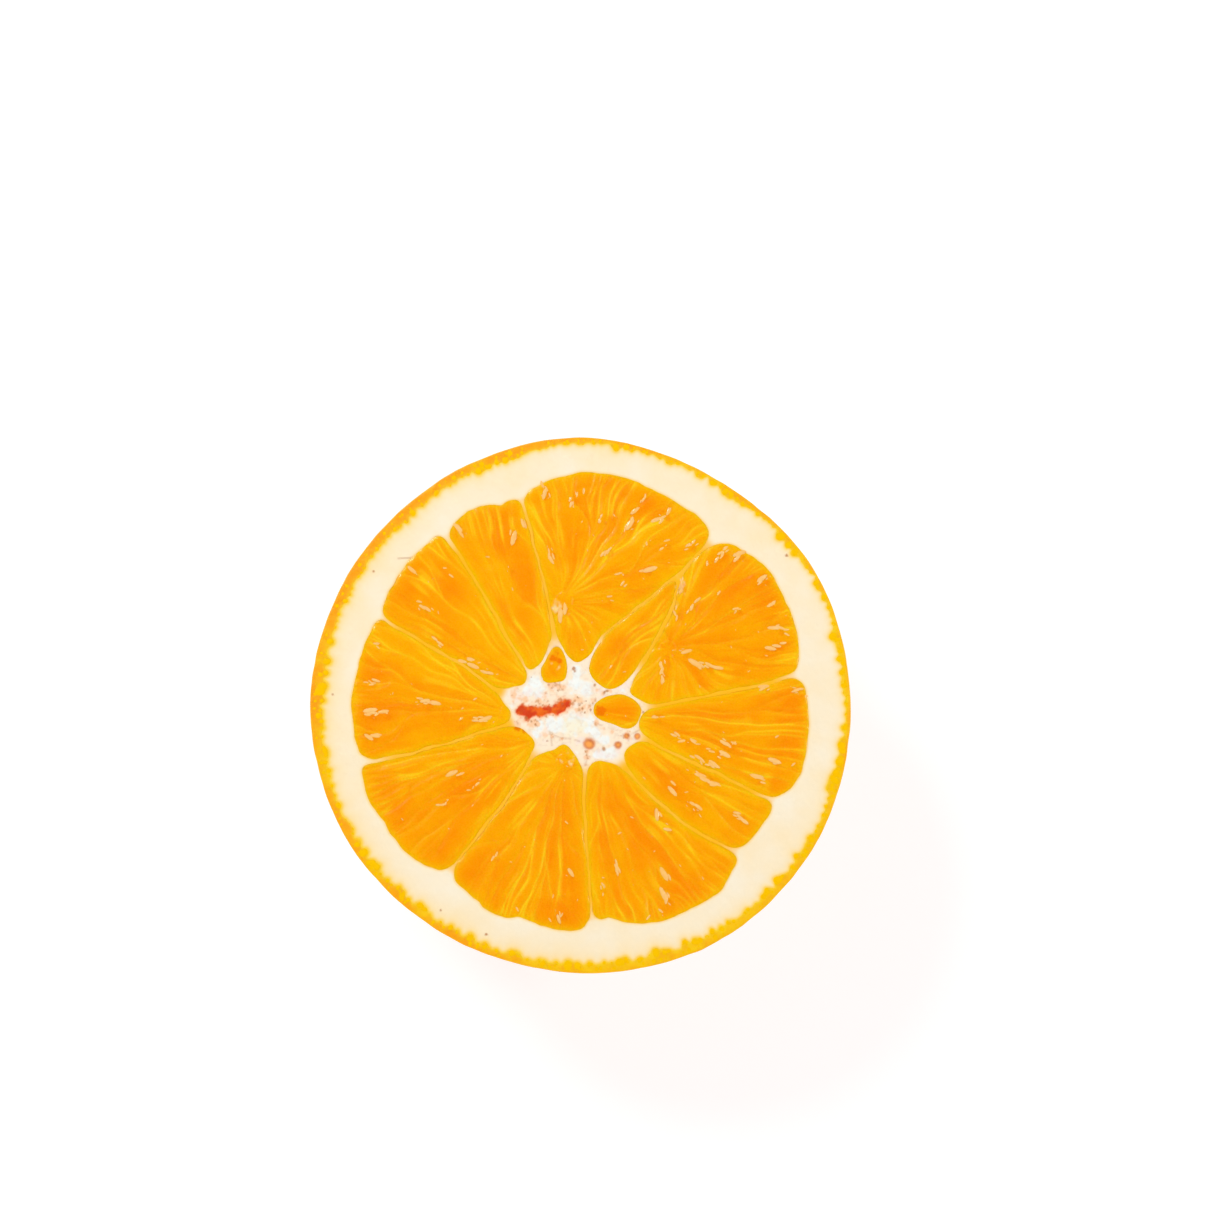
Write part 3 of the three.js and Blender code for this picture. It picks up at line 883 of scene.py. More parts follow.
def pulpValues(node, points, inner, sacs, tornAndGlint, seed):
    # what the pulp's material reads
    shape, amounts = pulpShape, pulpShape["tone"]
    seen = smoothStep(-0.5, 0.6, layeredNoise(points, 4.5, seed + 40, 2))
    (border, leastBorder), (haze, leastHaze) = shape["lines"]["border"], shape["lines"]["haze"]
    line = sacs["line"] * (leastBorder + border * seen)
    line = line + shape["hazeShare"] * sacs["haze"] * (leastHaze + haze * seen)
    line += shape["lines"]["fibre"] * smoothStep(0.25, 0.95, sacs["fibre"]) * seen
    line *= smoothStep(0.5, 4.0, sacs["radius"])
    tone = amounts["middle"] + shape["looks"][node][0] + amounts["side"] * sacs["tone"]
    tone = tone + amounts["streak"] * sacs["streak"] + amounts["fibre"] * sacs["fibre"]
    tone += amounts["patch"] * layeredNoise(points, 5, seed + 50, 2)
    tone += amounts["grain"] * layeredNoise(points, 1.3, seed + 52, 2)
    tone += amounts["tip"] * (1 - smoothStep(0.0, 0.35, sacs["outer"]))
    tone += amounts["end"] * smoothStep(0.7, 1.0, sacs["outer"])
    # painted shadows beside the rows of scraps, laid into the stain colour with the rust
    (right, up), (size, growth) = scrapShape["shadow"], scrapShape["shadowSize"]
    paintedShadows = [(x + right, y + up, size + growth * count) for x, y, _, count in scrapShape["rows"]]
    paintedShadows = [paintedShadow for paintedShadow in paintedShadows if insideLoop(outlines[node], [paintedShadow[:2]])[0]]
    rust = shape["rust"] * spotted(points, shape["stains"].get(node, ()), seed, 0.5)
    glow, glowReach = shape["wallGlow"]
    ragged = smoothStep(-0.2, 0.5, layeredNoise(points, 0.8, seed + 6, 2))
    return {
        "sacLine": np.clip(line * (1 - np.exp(-inner / shape["settle"])), 0, 1),
        "sacTone": np.clip(tone, 0, 1),
        "wallNear": glow * np.exp(-inner / glowReach),
        # pale torn membrane, partly painted glints
        "tornAndGlint": tornAndGlint * ragged * shape["tornAndGlintShare"],
        # stain: rust spots, and the painted shadows beside the scraps
        "stain": np.maximum(rust, shape["paintedShadowShare"] * spotted(points, paintedShadows, seed, 0.4)),
    }


def makePulp(node, seed):
    shape, outline = pulpShape, outlines[node]
    points, triangles = fillRegion([outline], shape["spacing"], seed)
    inner = distanceTo(treeOf(outline), points)
    inner[: len(outline)] = 0
    sacs = sacPattern(node, points, outline, seed)
    # the pale torn places, partly painted glints
    tornAndGlint = spotted(points, shape["tornAndGlint"], seed)
    height = pulpHeight(node, points, inner, sacs, tornAndGlint, seed)
    values = pulpValues(node, points, inner, sacs, tornAndGlint, seed)
    surfaces[node] = (treeOf(points), height)

    body = newBody()
    rim = addPoints(body, np.column_stack([points, height]))[: len(outline)]
    body["faces"].append(triangles)
    addSections(body, rim, segments[node], wallShape["grow"] - shape["sideGap"], inward=False)
    placePiece(node.replace("segment", "pulp"), meshOf(body, node, [pulpMaterial], values), [node])


def addSections(body, rim, segment, grow, inward):
    # the sides and the blunt lower end of a segment or of its pocket
    coarse = grown(smoothLoop(segment["corners"], pulpShape["wallSpacing"]), grow)
    ring = addRing(body, coarse, cutHeight - pulpShape["firstRing"])
    addWall(body, rim, ring, inward)
    for level, share, middle in segment["sections"]:
        lower = addRing(body, middle + (coarse - segment["middle"]) * share, level)
        addWall(body, ring, lower, inward)
        ring = lower
    addCap(body, ring, (middle[0], middle[1], level), upward=inward)


fans, surfaces = {}, {}
for number, node in enumerate(segmentNodes):
    makePulp(node, 100 + 50 * number)
print("pulp done")


def makeScraps():
    shape = scrapShape
    (rowLean, lean), (alongRow, acrossRow) = shape["lean"], shape["scatter"]
    draw = np.random.default_rng(21)
    places, sizes, turns = [], [], []
    for x, y, length, count in shape["rows"]:
        spot = np.array([x, y])
        home = [node for node in segmentNodes if insideLoop(outlines[node], [spot])[0]]
        if not home:
            continue
        tree, height = surfaces[home[0]]
        away = spot - fans[home[0]]
        turn = math.atan2(away[1], away[0]) + draw.normal(0, rowLean)
        along = np.array([math.cos(turn), math.sin(turn)])
        for share in np.linspace(-0.5, 0.5, count):
            offset = along * (share * length + draw.normal(0, alongRow))
            place = spot + offset + np.array([-along[1], along[0]]) * draw.normal(0, acrossRow)
            near = tree.find((place[0], place[1], 0))[1]
            places.append((place[0], place[1], height[near] - shape["sunk"]))
            sizes.append(draw.uniform(*shape["sizes"]))
            turns.append(turn + draw.normal(0, lean))
    for node in segmentNodes:
        tree, height = surfaces[node]
        low, high = outlines[node].min(axis=0), outlines[node].max(axis=0)
        count = round(np.prod(high - low) / shape["dropPitch"] ** 2)
        for spot in draw.uniform(low, high, (count, 2)):
            if insideLoop(grown(outlines[node], -shape["dropMargin"]), [spot])[0]:
                places.append((*spot, height[tree.find((*spot, 0))[1]] - shape["sunk"]))
                sizes.append(draw.uniform(*shape["dropSizes"]))
                turns.append(draw.uniform(0, math.pi))
    cloud = pointCloud("wetScraps", places, sizes, turns)
    placePiece("wet_scraps", runTree(lumpTree, cloud, Material=scrapMaterial, **shape["lump"]))


makeScraps()


rindShape = {
    "thickness": 1.04,
    "thickSide": (0.35, 200),  # how much more, and towards which side in degrees
    "thinSides": (0.28, 36),  # how much less, towards this side and the one opposite
    "uneven": ((0.2, 14), (0.16, 3.5)),  # how much, in lumps of what length
    "warmSide": (0.75, 135),  # how strongly its cut reddens towards one side
    "bowlDepth": 1.7,  # thickness of its body under the cut
    "bottom": 2.9,  # its thickness at the pole
    "edgeDrop": 0.06,  # the knife's edge on the skin lies this far under the cut
    "seamDrop": 0.02,  # and the seam with the pith this far
    "glandPitch": 1.3,
    "glandRadius": (0.28, 0.85),
    "cutGrain": 0.03,
    "skinReach": 0.4,  # how far the skin's colour reaches in on the cut
    "pithGlow": (0.8, 0.25),  # how strongly the pith's colour reaches out, and how far
    "glandRows": (1.0, 0.5),  # how deep in the rind each row lies
    "glandCover": 0.25,  # the least skin over a gland
    "steps": 1800,  # points along its inner edge
    "rimRings": 190,  # rings of the dome from pole to cut
    "spacing": 0.2,
    "bulges": [  # where it bulges furthest into the pith: degrees round the rim, and size
        (-9.5, 0.8), (-17, 1.05), (-41, 0.7), (-46, 0.9), (-64, 0.7), (-71, 0.8), (-81, 0.95), (13, 0.6),
        (24, 0.65), (32, 0.75), (50, 0.6), (70, 0.6), (105, 0.7), (112, 0.75), (136, 0.65), (182, 0.6),
        (191, 0.7), (208, 0.8), (218, 0.95), (226, 0.8), (232, 0.85), (255, 0.95),
    ],
}


def readRim():
    # radius of the fruit at the cut, at even angles
    points, _ = nodeTriangles("rind")
    top = points[np.abs(points[:, 2] - cutHeight) < sameLevel][:, :2]
    angles, radii = np.arctan2(top[:, 1], top[:, 0]), np.linalg.norm(top, axis=1)
    steps, beside, kept = 720, 0.02, 24  # places, how close corners are compared, and waves that stay
    furthest = np.array([radii[np.abs(angles - angle) < beside].max() for angle in angles])
    outer = np.flatnonzero(radii >= furthest - 1e-6)
    at = np.linspace(-math.pi, math.pi, steps, endpoint=False)
    waves = np.fft.rfft(np.interp(at, angles[outer], radii[outer], period=2 * math.pi))
    waves[kept:] = 0
    return at, np.fft.irfft(waves, len(at))


rimAngles, rimRadii = readRim()


def rimRadiusAt(angle):
    return np.interp(angle, rimAngles, rimRadii, period=2 * math.pi)


def aroundNoise(angle, size, seed):
    # noise that runs round the rim, in lumps of about the given length
    place = rimRadii.mean() * np.column_stack([np.cos(angle), np.sin(angle)])
    return softNoise(place, size, seed)


def rindDepthAt(angle):
    shape = rindShape
    (more, thickSide), (less, thinSide) = shape["thickSide"], shape["thinSides"]
    slow = more * np.cos(angle - math.radians(thickSide))
    slow = slow - less * np.cos(2 * (angle - math.radians(thinSide)))
    depth = shape["thickness"] + slow
    for seed, (amount, size) in enumerate(shape["uneven"], 61):
        depth = depth + amount * aroundNoise(angle, size, seed)
    return depth


def placeGlands():
    # oil glands in two uneven rows round the rim: angle, distance from the axis, radius
    shape = rindShape
    draw = np.random.default_rng(7)
    count = round(2 * math.pi * rimRadii.mean() / shape["glandPitch"])
    low, high = shape["glandRadius"]
    rows = []
    for share in shape["glandRows"]:
        angles = (np.arange(count) + draw.uniform(-0.5, 0.5, count)) * 2 * math.pi / count
        around = np.column_stack([angles * meanRadius, angles * 0])
        lively = smoothStep(-0.5, 0.4, layeredNoise(around, 4.5, 63, 2))
        radii = low + draw.uniform(0, 1, count) ** 1.4 * (high - low) * (0.25 + 0.75 * lively) * share
        stickOut = radii * draw.uniform(-1.0, 0.7, count) * (0.3 + 0.7 * lively) * (share == 1)
        distance = np.minimum(stickOut - rindDepthAt(angles) * share, -shape["glandCover"] - radii)
        rows.append((angles, rimRadiusAt(angles) + distance, radii))
    for degrees, size in shape["bulges"]:
        aside = size * (np.array([-0.6, 0, 0.6]) + draw.uniform(-0.15, 0.15, 3)) / rimRadii.mean()
        angles = math.radians(degrees) + aside
        radii = size * draw.uniform(0.45, 0.7, 3)
        further = size * draw.uniform(0.1, 0.45, 3)
        rows.append((angles, rimRadiusAt(angles) - rindDepthAt(angles) - further, radii))
    return (np.concatenate(columns) for columns in zip(*rows))


glandAngles, glandDistances, glandRadii = placeGlands()


def makeLobedEdge():
    # the rind's inner edge at the cut: an even depth, with each gland bulging into the pith
    steps = rindShape["steps"]
    angle = np.arange(steps) * 2 * math.pi / steps
    radius = rimRadiusAt(angle) - rindDepthAt(angle)
    for glandAngle, distance, size in zip(glandAngles, glandDistances, glandRadii):
        turn = (angle - glandAngle + math.pi) % (2 * math.pi) - math.pi
        reach = size ** 2 - (distance * np.sin(turn)) ** 2
        hit = (reach > 0) & (np.abs(turn) < 0.5)
        radius[hit] = np.minimum(radius[hit], distance * np.cos(turn[hit]) - np.sqrt(reach[hit]))
    radius = rolling(radius + 0.05 * aroundNoise(angle, 0.5, 64), 2)
    return np.column_stack([radius * np.cos(angle), radius * np.sin(angle)])


lobedEdge = makeLobedEdge()


def outerBowl(body, drop, thickness, inward=False):
    # rings of a bowl under the cut, down to its pole. Gives the top ring.
    steps, shares = 200, (0.995, 0.96, 0.88, 0.76, 0.6, 0.42, 0.2)  # a ring's points, and all rings' radii
    angle = np.arange(steps) * 2 * math.pi / steps
    rings = []
    for share in shares:
        radius = (rimRadiusAt(angle) - thickness) * share
        loop = np.column_stack([radius * np.cos(angle), radius * np.sin(angle)])
        rings.append(addRing(body, loop, cutHeight - drop * math.sqrt(1 - share ** 2)))
    for upper, lower in zip(rings, rings[1:]):
        addWall(body, upper, lower, inward)
    addCap(body, rings[-1], (0, 0, cutHeight - drop), upward=inward)
    return rings[0]


pithShape = {
    "amounts": {  # how strongly each colour shows
        "coreTint": 0.5, "yolk": 0.75, "membraneEnd": 0.85, "bySac": 0.7, "rindTint": 0.9, "byCrack": 0.5,
        "speck": 0.85, "hair": 0.6, "thread": 0.45, "blushGrit": 0.4, "tissueGrit": 0.12,
    },
    "rindTintReach": 0.36,
    "spacing": 0.19,
    "sideGap": 0.1,  # between its side and the rind
    "grain": 0.03,
    "swells": 0.05,
    "wallRidge": 0.05,
    "coreLumps": 0.12,
    "pocketDip": 0.05,
    "crackDepth": 0.4,
    "strandDip": 0.12,
    "crack": [  # the stained crack in the core: x, y, half width and how deep its colour is
        (-9.1, -1.1, 0.8, 1.0), (-8.0, -1.2, 0.95, 1.0), (-6.9, -1.2, 0.75, 0.4), (-5.4, -1.1, 0.7, 0.35),
        (-4.2, -0.9, 0.75, 0.7), (-3.0, -0.5, 0.75, 0.8), (-2.2, 0.1, 0.7, 0.75),
    ],
    "blushes": [  # pink places: x, y, radius
        (-10.2, 1.5, 0.8), (-9.4, 0.9, 0.9), (-8.6, 0.3, 0.7), (-4.4, 2.9, 0.9), (-3.4, 2.7, 0.8),
        (-4.1, 1.6, 1.0), (-5.0, 0.6, 0.8), (-3.5, 0.7, 0.8), (-6.6, 0.2, 0.6), (-0.9, 0.5, 0.8),
        (0.1, -0.2, 0.9), (1.2, -0.6, 0.8), (1.9, 0.5, 0.6), (-0.7, -1.0, 0.6), (2.2, -2.9, 0.4),
        (3.3, -3.5, 0.4), (4.6, -4.3, 0.4), (5.8, -4.9, 0.4), (0.9, -7.2, 0.5), (0.8, -8.2, 0.5),
        (0.7, -9.2, 0.4), (-8.3, -2.4, 0.7), (-7.2, -2.9, 0.7), (-9.6, -3.0, 0.6), (-4.0, 3.7, 0.8),
        (6.9, -4.9, 0.8), (-5.6, -4.7, 0.4), (-4.3, -5.0, 0.35), (-3.0, -5.3, 0.35), (3.2, 1.6, 0.4),
        (4.4, 1.9, 0.4), (2.4, 2.2, 0.3), (-8.0, -3.2, 0.4),
    ],
    "threads": [  # fine dark lines, each a row of places
        [(-4.9, -4.1), (-4.1, -4.8), (-3.0, -5.2), (-1.6, -5.3), (-0.2, -5.7)],
        [(-4.9, -4.1), (-4.6, -5.2), (-4.5, -6.3)], [(1.8, -2.7), (3.1, -3.3), (4.7, -3.8), (6.1, -4.1)],
        [(7.6, -4.6), (8.9, -3.9), (9.6, -2.6)], [(-2.6, 4.2), (-3.4, 3.3), (-3.2, 2.4)],
        [(0.7, -7.0), (0.9, -8.0), (0.6, -9.4)],
    ],
    "strands": [  # cut ends of the strands that run up the core: x, y, radius
        (1.2, -6.1, 0.95), (5.6, -6.2, 0.6), (6.9, -4.85, 0.45), (8.5, -4.9, 0.5),
    ],
    "whites": [  # lumps of white tissue: x, y, radius
        (-7.2, 3.3, 1.7), (-6.5, 1.9, 1.1), (-7.9, 2.2, 1.0), (-0.6, 4.7, 1.2), (-0.7, 3.1, 1.6),
        (0.7, 2.2, 1.2), (-4.4, -2.9, 1.3), (-3.2, -3.4, 1.6), (-1.4, -3.2, 1.8), (0.6, -3.2, 1.6),
        (2.0, -4.3, 1.2), (-6.3, -3.4, 1.0), (3.2, -8.1, 1.2), (4.4, -7.6, 1.2), (3.5, -5.6, 1.0),
        (-10.9, -0.9, 0.8), (-7.0, -4.6, 0.7), (7.4, -3.6, 0.6), (6.2, 1.9, 0.6), (-0.9, -7.6, 0.5),
        (2.2, -7.6, 0.7),
    ],
    "yolks": [(-1.5, -3.5, 1.5), (-0.4, -3.5, 1.4)],  # yellowish places: x, y, radius
    "specks": [  # brown ones: x, y, radius
        (-1.2, 5.4, 0.28), (-1.0, 5.0, 0.2), (3.5, 1.8, 0.24), (3.9, 1.95, 0.22), (2.0, 2.9, 0.18),
        (-4.5, 2.4, 0.2), (-5.0, 2.9, 0.18), (-3.6, 2.05, 0.18), (-4.1, 3.3, 0.18), (3.4, -6.8, 0.36),
        (0.6, -7.2, 0.18), (0.95, -8.3, 0.2), (0.7, -7.8, 0.15), (-1.0, 0.5, 0.18), (0.1, -0.7, 0.2),
        (0.7, 0.4, 0.18), (-0.3, -0.2, 0.16), (1.4, -0.9, 0.2), (0.5, -1.3, 0.16), (-0.6, 1.0, 0.15),
        (1.7, 0.1, 0.15), (-6.4, -1.95, 0.22), (-5.4, -1.9, 0.2), (-4.3, -1.7, 0.18), (-8.4, -2.1, 0.24),
        (-7.6, -2.7, 0.18), (-7.0, -3.1, 0.16), (-6.9, -0.2, 0.16), (-5.9, -0.2, 0.15),
        (-4.9, -0.1, 0.16), (4.9, -6.3, 0.2), (6.4, -5.1, 0.18), (-5.2, -5.6, 0.16), (-31.6, 20.1, 0.22),
        (-37.7, 1.4, 0.17), (31.4, 22.8, 0.24), (-21.3, -31.2, 0.18), (-14.4, -34.9, 0.2),
        (-7.7, 4.0, 0.14), (9.4, -1.2, 0.16), (9.6, -2.2, 0.16),
    ],
    "hair": {"from": (-26.8, 22.15), "middle": -26.7, "slope": 0.06, "width": 0.1, "ends": (1.1, 1.5)},
}


def besideStroke(points, start, end):
    # how far each point is from a straight stroke, and how far along it
    step = np.subtract(end, start)
    share = np.clip((points - start) @ step / (step @ step), 0, 1)
    return np.linalg.norm(points - start - share[:, None] * step, axis=1), share


def alongCrack(points, seed):
    # inside the crack, near it, and how deep its colour is there
    crack = pithShape["crack"]
    nearest, deepness = np.full(len(points), far), np.zeros(len(points))
    for (ax, ay, aw, ad), (bx, by, bw, bd) in zip(crack, crack[1:]):
        away, share = besideStroke(points, (ax, ay), (bx, by))
        away = away / (aw + (bw - aw) * share)
        closer = away < nearest
        nearest = np.where(closer, away, nearest)
        deepness = np.where(closer, ad + (bd - ad) * share, deepness)
    nearest = nearest + 0.4 * layeredNoise(points, 0.9, seed, 3)
    return 1 - smoothStep(0.7, 1.15, nearest), 1 - smoothStep(0.9, 1.9, nearest), deepness


def strandMarks(points, rough):
    # the rings and hearts of the cut strands, and the fine threads between them
    ring, heart = np.zeros((2, len(points)))
    for x, y, radius in pithShape["strands"]:
        away = np.hypot(points[:, 0] - x, points[:, 1] - y) / radius + 0.15 * rough
        ring = np.maximum(ring, np.exp(-((away - 0.7) / 0.28) ** 2))
        heart = np.maximum(heart, 1 - smoothStep(0.5, 1.1, away))
    thread = np.full(len(points), far)
    for path in pithShape["threads"]:
        for start, end in zip(path, path[1:]):
            thread = np.minimum(thread, besideStroke(points, start, end)[0] + 0.06 * rough)
    return ring, heart, np.exp(-(thread / 0.13) ** 2) * smoothStep(-0.9, 0.1, rough)


def hairMark(points):
    # one short fine line across the pith
    hair = pithShape["hair"]
    x, y = hair["from"]
    near, ended = hair["ends"]
    beside = points[:, 1] - y - hair["slope"] * (points[:, 0] - x)
    along = np.abs(points[:, 0] - hair["middle"])
    return np.exp(-(beside / hair["width"]) ** 2) * smoothStep(ended, near, along)


def shapePith(points, toPocket, toRind):
    # each point's height, and what the pith's material reads there
    shape, amounts = pithShape, pithShape["amounts"]
    wall = toPocket[:, 0] + toPocket[:, 1]  # how thick the tissue is between two pockets
    fromAxis = np.linalg.norm(points, axis=1)
    thin = 1 - smoothStep(0.8, 2.2, wall)
    tissue = 1 - smoothStep(9.0, 13.0, fromAxis + 1.2 * layeredNoise(points, 2.5, 85, 2))
    core = spotted(points, shape["whites"], 86, 0.35) * smoothStep(0.15, 0.6, toPocket[:, 0])
    inCrack, byCrack, deepness = alongCrack(points, 71)
    rough = layeredNoise(points, 0.7, 80, 3)
    blush = spotted(points, shape["blushes"], 72, 0.6)
    grit = smoothStep(0.25, 0.8, layeredNoise(points, 0.42, 84, 2))
    ring, heart, thread = strandMarks(points, rough)

    height = cutHeight + shape["grain"] * layeredNoise(points, 0.8, 75, 3)
    height += shape["swells"] * layeredNoise(points, 5, 76, 2)
    height += shape["wallRidge"] * thin + core * shape["coreLumps"] * layeredNoise(points, 1.9, 77, 3)
    height -= shape["pocketDip"] * np.exp(-toPocket[:, 0] / 0.12)
    height -= shape["crackDepth"] * inCrack * (0.6 + 0.4 * layeredNoise(points, 1.0, 78, 2))
    height -= shape["strandDip"] * heart
    height[: len(lobedEdge)] = cutHeight - rindShape["seamDrop"]

    patchy = smoothStep(-0.6, 0.4, layeredNoise(points, 3.0, 79, 2))
    yellowSide = np.cos(np.arctan2(points[:, 1], points[:, 0]) - math.radians(rindShape["thickSide"][1]))
    wallStart, wallEnd = smoothStep(8.5, 12, fromAxis), smoothStep(29, 35, fromAxis + 3 * (1 - thin))
    wallEnding = thin * amounts["membraneEnd"] * wallStart * (1 - smoothStep(28, 34, fromAxis))
    bySac = amounts["bySac"] * np.exp(-((toPocket[:, 0] / 0.24) ** 2)) * smoothStep(6, 12, fromAxis)
    byRind = (0.32 + 0.16 * yellowSide) * np.exp(-toRind / 1.5)
    dots = amounts["blushGrit"] * blush * grit + amounts["tissueGrit"] * tissue * grit
    speck = amounts["speck"] * spotted(points, shape["specks"], 82, 0.4)
    values = {
        "tissue": tissue * (0.8 + 0.2 * rough),
        "core": core * (0.9 + 0.1 * rough),
        "coreTint": tissue * smoothStep(0.1, 0.9, layeredNoise(points, 1.4, 83, 3)) * amounts["coreTint"],
        "yolk": spotted(points, shape["yolks"], 81, 0.3) * amounts["yolk"],
        "membraneEnd": np.maximum(wallEnding, bySac),
        "membrane": thin * (0.88 + 0.12 * patchy) * wallStart * (1 - wallEnd),
        "rindTint": amounts["rindTint"] * np.exp(-(toRind / shape["rindTintReach"]) ** 1.2) + byRind,
        "blush": np.maximum(blush * smoothStep(-1.1, 0.0, rough), byCrack),
        "stain": np.maximum(inCrack, amounts["byCrack"] * byCrack * grit),
        "deepStain": inCrack * smoothStep(0.25, 0.85, deepness + 0.5 * rough),
        "heart": heart,
        "ring": ring * (0.75 + 0.25 * rough),
        "speck": np.maximum.reduce([
            speck, amounts["hair"] * hairMark(points), amounts["thread"] * thread, dots]),
    }
    return height, {key: np.clip(numbers, 0, 1) for key, numbers in values.items()}


def makePith():
    pockets = [outlines[node] for node in segmentNodes]
    loops = [lobedEdge] + [pocket[::-1] for pocket in pockets]
    points, triangles = fillRegion(loops, pithShape["spacing"], 5)
    toPocket = np.column_stack([distanceTo(treeOf(pocket), points) for pocket in pockets])
    toPocket.sort(axis=1)
    height, values = shapePith(points, toPocket, distanceTo(treeOf(lobedEdge), points))

    body = newBody()
    addPoints(body, np.column_stack([points, height]))
    body["faces"].append(triangles)
    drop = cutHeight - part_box("pith")[0][2] / mm
    bowl = outerBowl(body, drop, rindShape["bowlDepth"] + pithShape["sideGap"])
    addWall(body, np.arange(len(lobedEdge)), bowl)
    first = len(lobedEdge)
    for node in segmentNodes:
        rim = np.arange(first, first + len(outlines[node]))[::-1]
        first += len(rim)
        addSections(body, rim, segments[node], wallShape["grow"], inward=True)
    placePiece("pith_and_walls", meshOf(body, "pith", [pithMaterial], values), ["pith"])


makePith()
print("pith done")


skinShape = {
    "restRadius": 7,  # of the flat it rests on
    "rimRough": 0.06,
    "lumps": (0.04, 0.05, 0.16),  # fine, middling and wide
    "sunk": 0.12,  # the skin lies this far inside the plain dome
    "dimpleRadius": 4.6,
    "dimpleDepth": 1.5,
    "scarRadius": 1.9,
    "puckers": 0.24,
    "button": (0.6, 0.35, 0.13),  # how far the stem's button stands out, its hollow, and its rays
    "buttonRays": 6,
    "amounts": {  # how strongly each colour shows
        "middle": 0.9, "crease": 0.6, "rays": 0.4, "speck": 0.8, "cutNear": 0.85, "stemNear": 0.45,
    },
    "furrows": 9,
    "furrowDepth": 0.3,
    "furrowPeak": 6,
    "specks": 9,
    "pores": {"Spacing": 1.75 * mm, "Depth": 0.26 * mm, "Width": 0.48 * mm, "Seed": 3},
}


def domeGrid(rings):
    # even triangles over the dome: ring k holds 4k points
    turn, tilt, faces = [np.zeros(1)], [np.zeros(1)], []
    inner = np.arange(1)
    for k in range(1, rings + 1):
        count = 4 * k
        turn.append(np.arange(count) * 2 * math.pi / count)
        tilt.append(np.full(count, k / rings * math.pi / 2))
        outer = np.arange(count) + inner[-1] + 1
        for quarter in range(4):
            j = np.arange(k)
            first, second = outer[(quarter * k + j) % count], outer[(quarter * k + j + 1) % count]
            near = inner[(quarter * (k - 1) + j) % len(inner)]
            beyond = inner[(quarter * (k - 1) + j + 1) % len(inner)]
            faces.append(np.column_stack([near, second, first]))
            faces.append(np.column_stack([near, beyond, second])[: k - 1])
        inner = outer
    return np.concatenate(turn), np.concatenate(tilt), np.vstack(faces)


def stemHeight(turn, radius):
    # height of the underside round the stem: a dimple with puckered sides, and the stem's button in it
    shape = skinShape
    dimple = shape["dimpleDepth"] * smoothStep(shape["dimpleRadius"], shape["scarRadius"], radius)
    puckers = shape["puckers"] * np.cos(shape["furrows"] * turn + 0.8 * np.sin(3 * turn))
    puckers *= smoothStep(1.6, 2.6, radius)
    puckers *= smoothStep(shape["dimpleRadius"], shape["dimpleRadius"] - 1, radius)
    out, hollow, rays = shape["button"]
    rays = rays * np.cos(shape["buttonRays"] * turn)
    button = -out * (1 - smoothStep(1.1, 1.6, radius)) + hollow * (1 - smoothStep(0.2, 0.8, radius))
    button += rays * (1 - smoothStep(1.0, 1.6, radius)) * smoothStep(0.2, 0.7, radius)
    return dimple + puckers + button * (radius < 2)


def shapeSkin(turn, tilt):
    # the skin before its pores: a dome, flat where it rests, with the stem's dimple and folds
    shape = skinShape
    rough, restRadius = shape["rimRough"], shape["restRadius"]
    drop = cutHeight / math.sqrt(1 - (restRadius / meanRadius) ** 2)
    share = np.sin(tilt)
    around = meanRadius * np.column_stack([np.cos(turn), np.sin(turn)])
    rim = rimRadiusAt(turn) - rough + rough * layeredNoise(around, 3, 35, 2)
    radius = (rim + (meanRadius - rim) * (1 - share) ** 2) * share
    place = np.column_stack([radius * np.cos(turn), radius * np.sin(turn), cutHeight - drop * np.cos(tilt)])
    normal = np.column_stack([share * np.cos(turn), share * np.sin(turn), -np.cos(tilt)])
    onBall = normal * meanRadius
    away = np.clip((radius - restRadius) / shape["furrowPeak"], 0, None)
    calm = smoothStep(0, 0.3, away) * smoothStep(math.pi / 2, math.pi / 2 - 0.02, tilt)
    fine, middling, wide = shape["lumps"]
    lift = fine * layeredNoise(onBall, 1.1, 30, 2) + middling * layeredNoise(onBall, 3, 31, 2)
    lift += wide * layeredNoise(onBall, 9, 32, 2) - shape["sunk"]
    place += normal * (lift * calm)[:, None]
    folds = 0.5 + 0.5 * np.cos(shape["furrows"] * turn)
    place[:, 2] += shape["furrowDepth"] * away * np.exp(1 - away) * folds
    low = radius < restRadius
    place[low, 2] = stemHeight(turn, radius)[low]
    place[:, 2] = np.maximum(place[:, 2], 0)
    return place, radius, calm, onBall


def skinValues(turn, place, radius, calm, onBall):
    # what the skin's pores and material read
    amounts = skinShape["amounts"]
    spots = np.random.default_rng(3).normal(0, 1, (skinShape["specks"], 3))
    spots[:, 2] = -np.abs(spots[:, 2])
    spots *= meanRadius / np.linalg.norm(spots, axis=1)[:, None]
    toSpot = distanceTo(treeOf(spots), onBall) + 0.3 * layeredNoise(onBall, 0.8, 51, 2)
    middle = amounts["middle"] * (1 - smoothStep(0.3, 0.8, radius))
    crease = amounts["crease"] * smoothStep(1.1, 1.5, radius) * (1 - smoothStep(1.7, 2.0, radius))
    rays = amounts["rays"] * smoothStep(0.2, 0.9, -np.cos(skinShape["buttonRays"] * turn))
    rays = rays * smoothStep(0.2, 0.7, radius)
    return {
        "calm": np.where(radius < 9, smoothStep(1.8, 2.4, radius) * 0.85, calm),
        "speck": amounts["speck"] * (1 - smoothStep(0.25, 0.55, toSpot)),
        "cutNear": amounts["cutNear"] * np.exp((place[:, 2] - cutHeight) / 0.6),
        "stemNear": amounts["stemNear"] * (1 - smoothStep(2, 8, radius)),
        "scar": 1 - smoothStep(1.4, 1.8, radius),
        "scarPit": np.maximum(middle, crease) + rays * (1 - smoothStep(1.2, 1.5, radius)),
    }


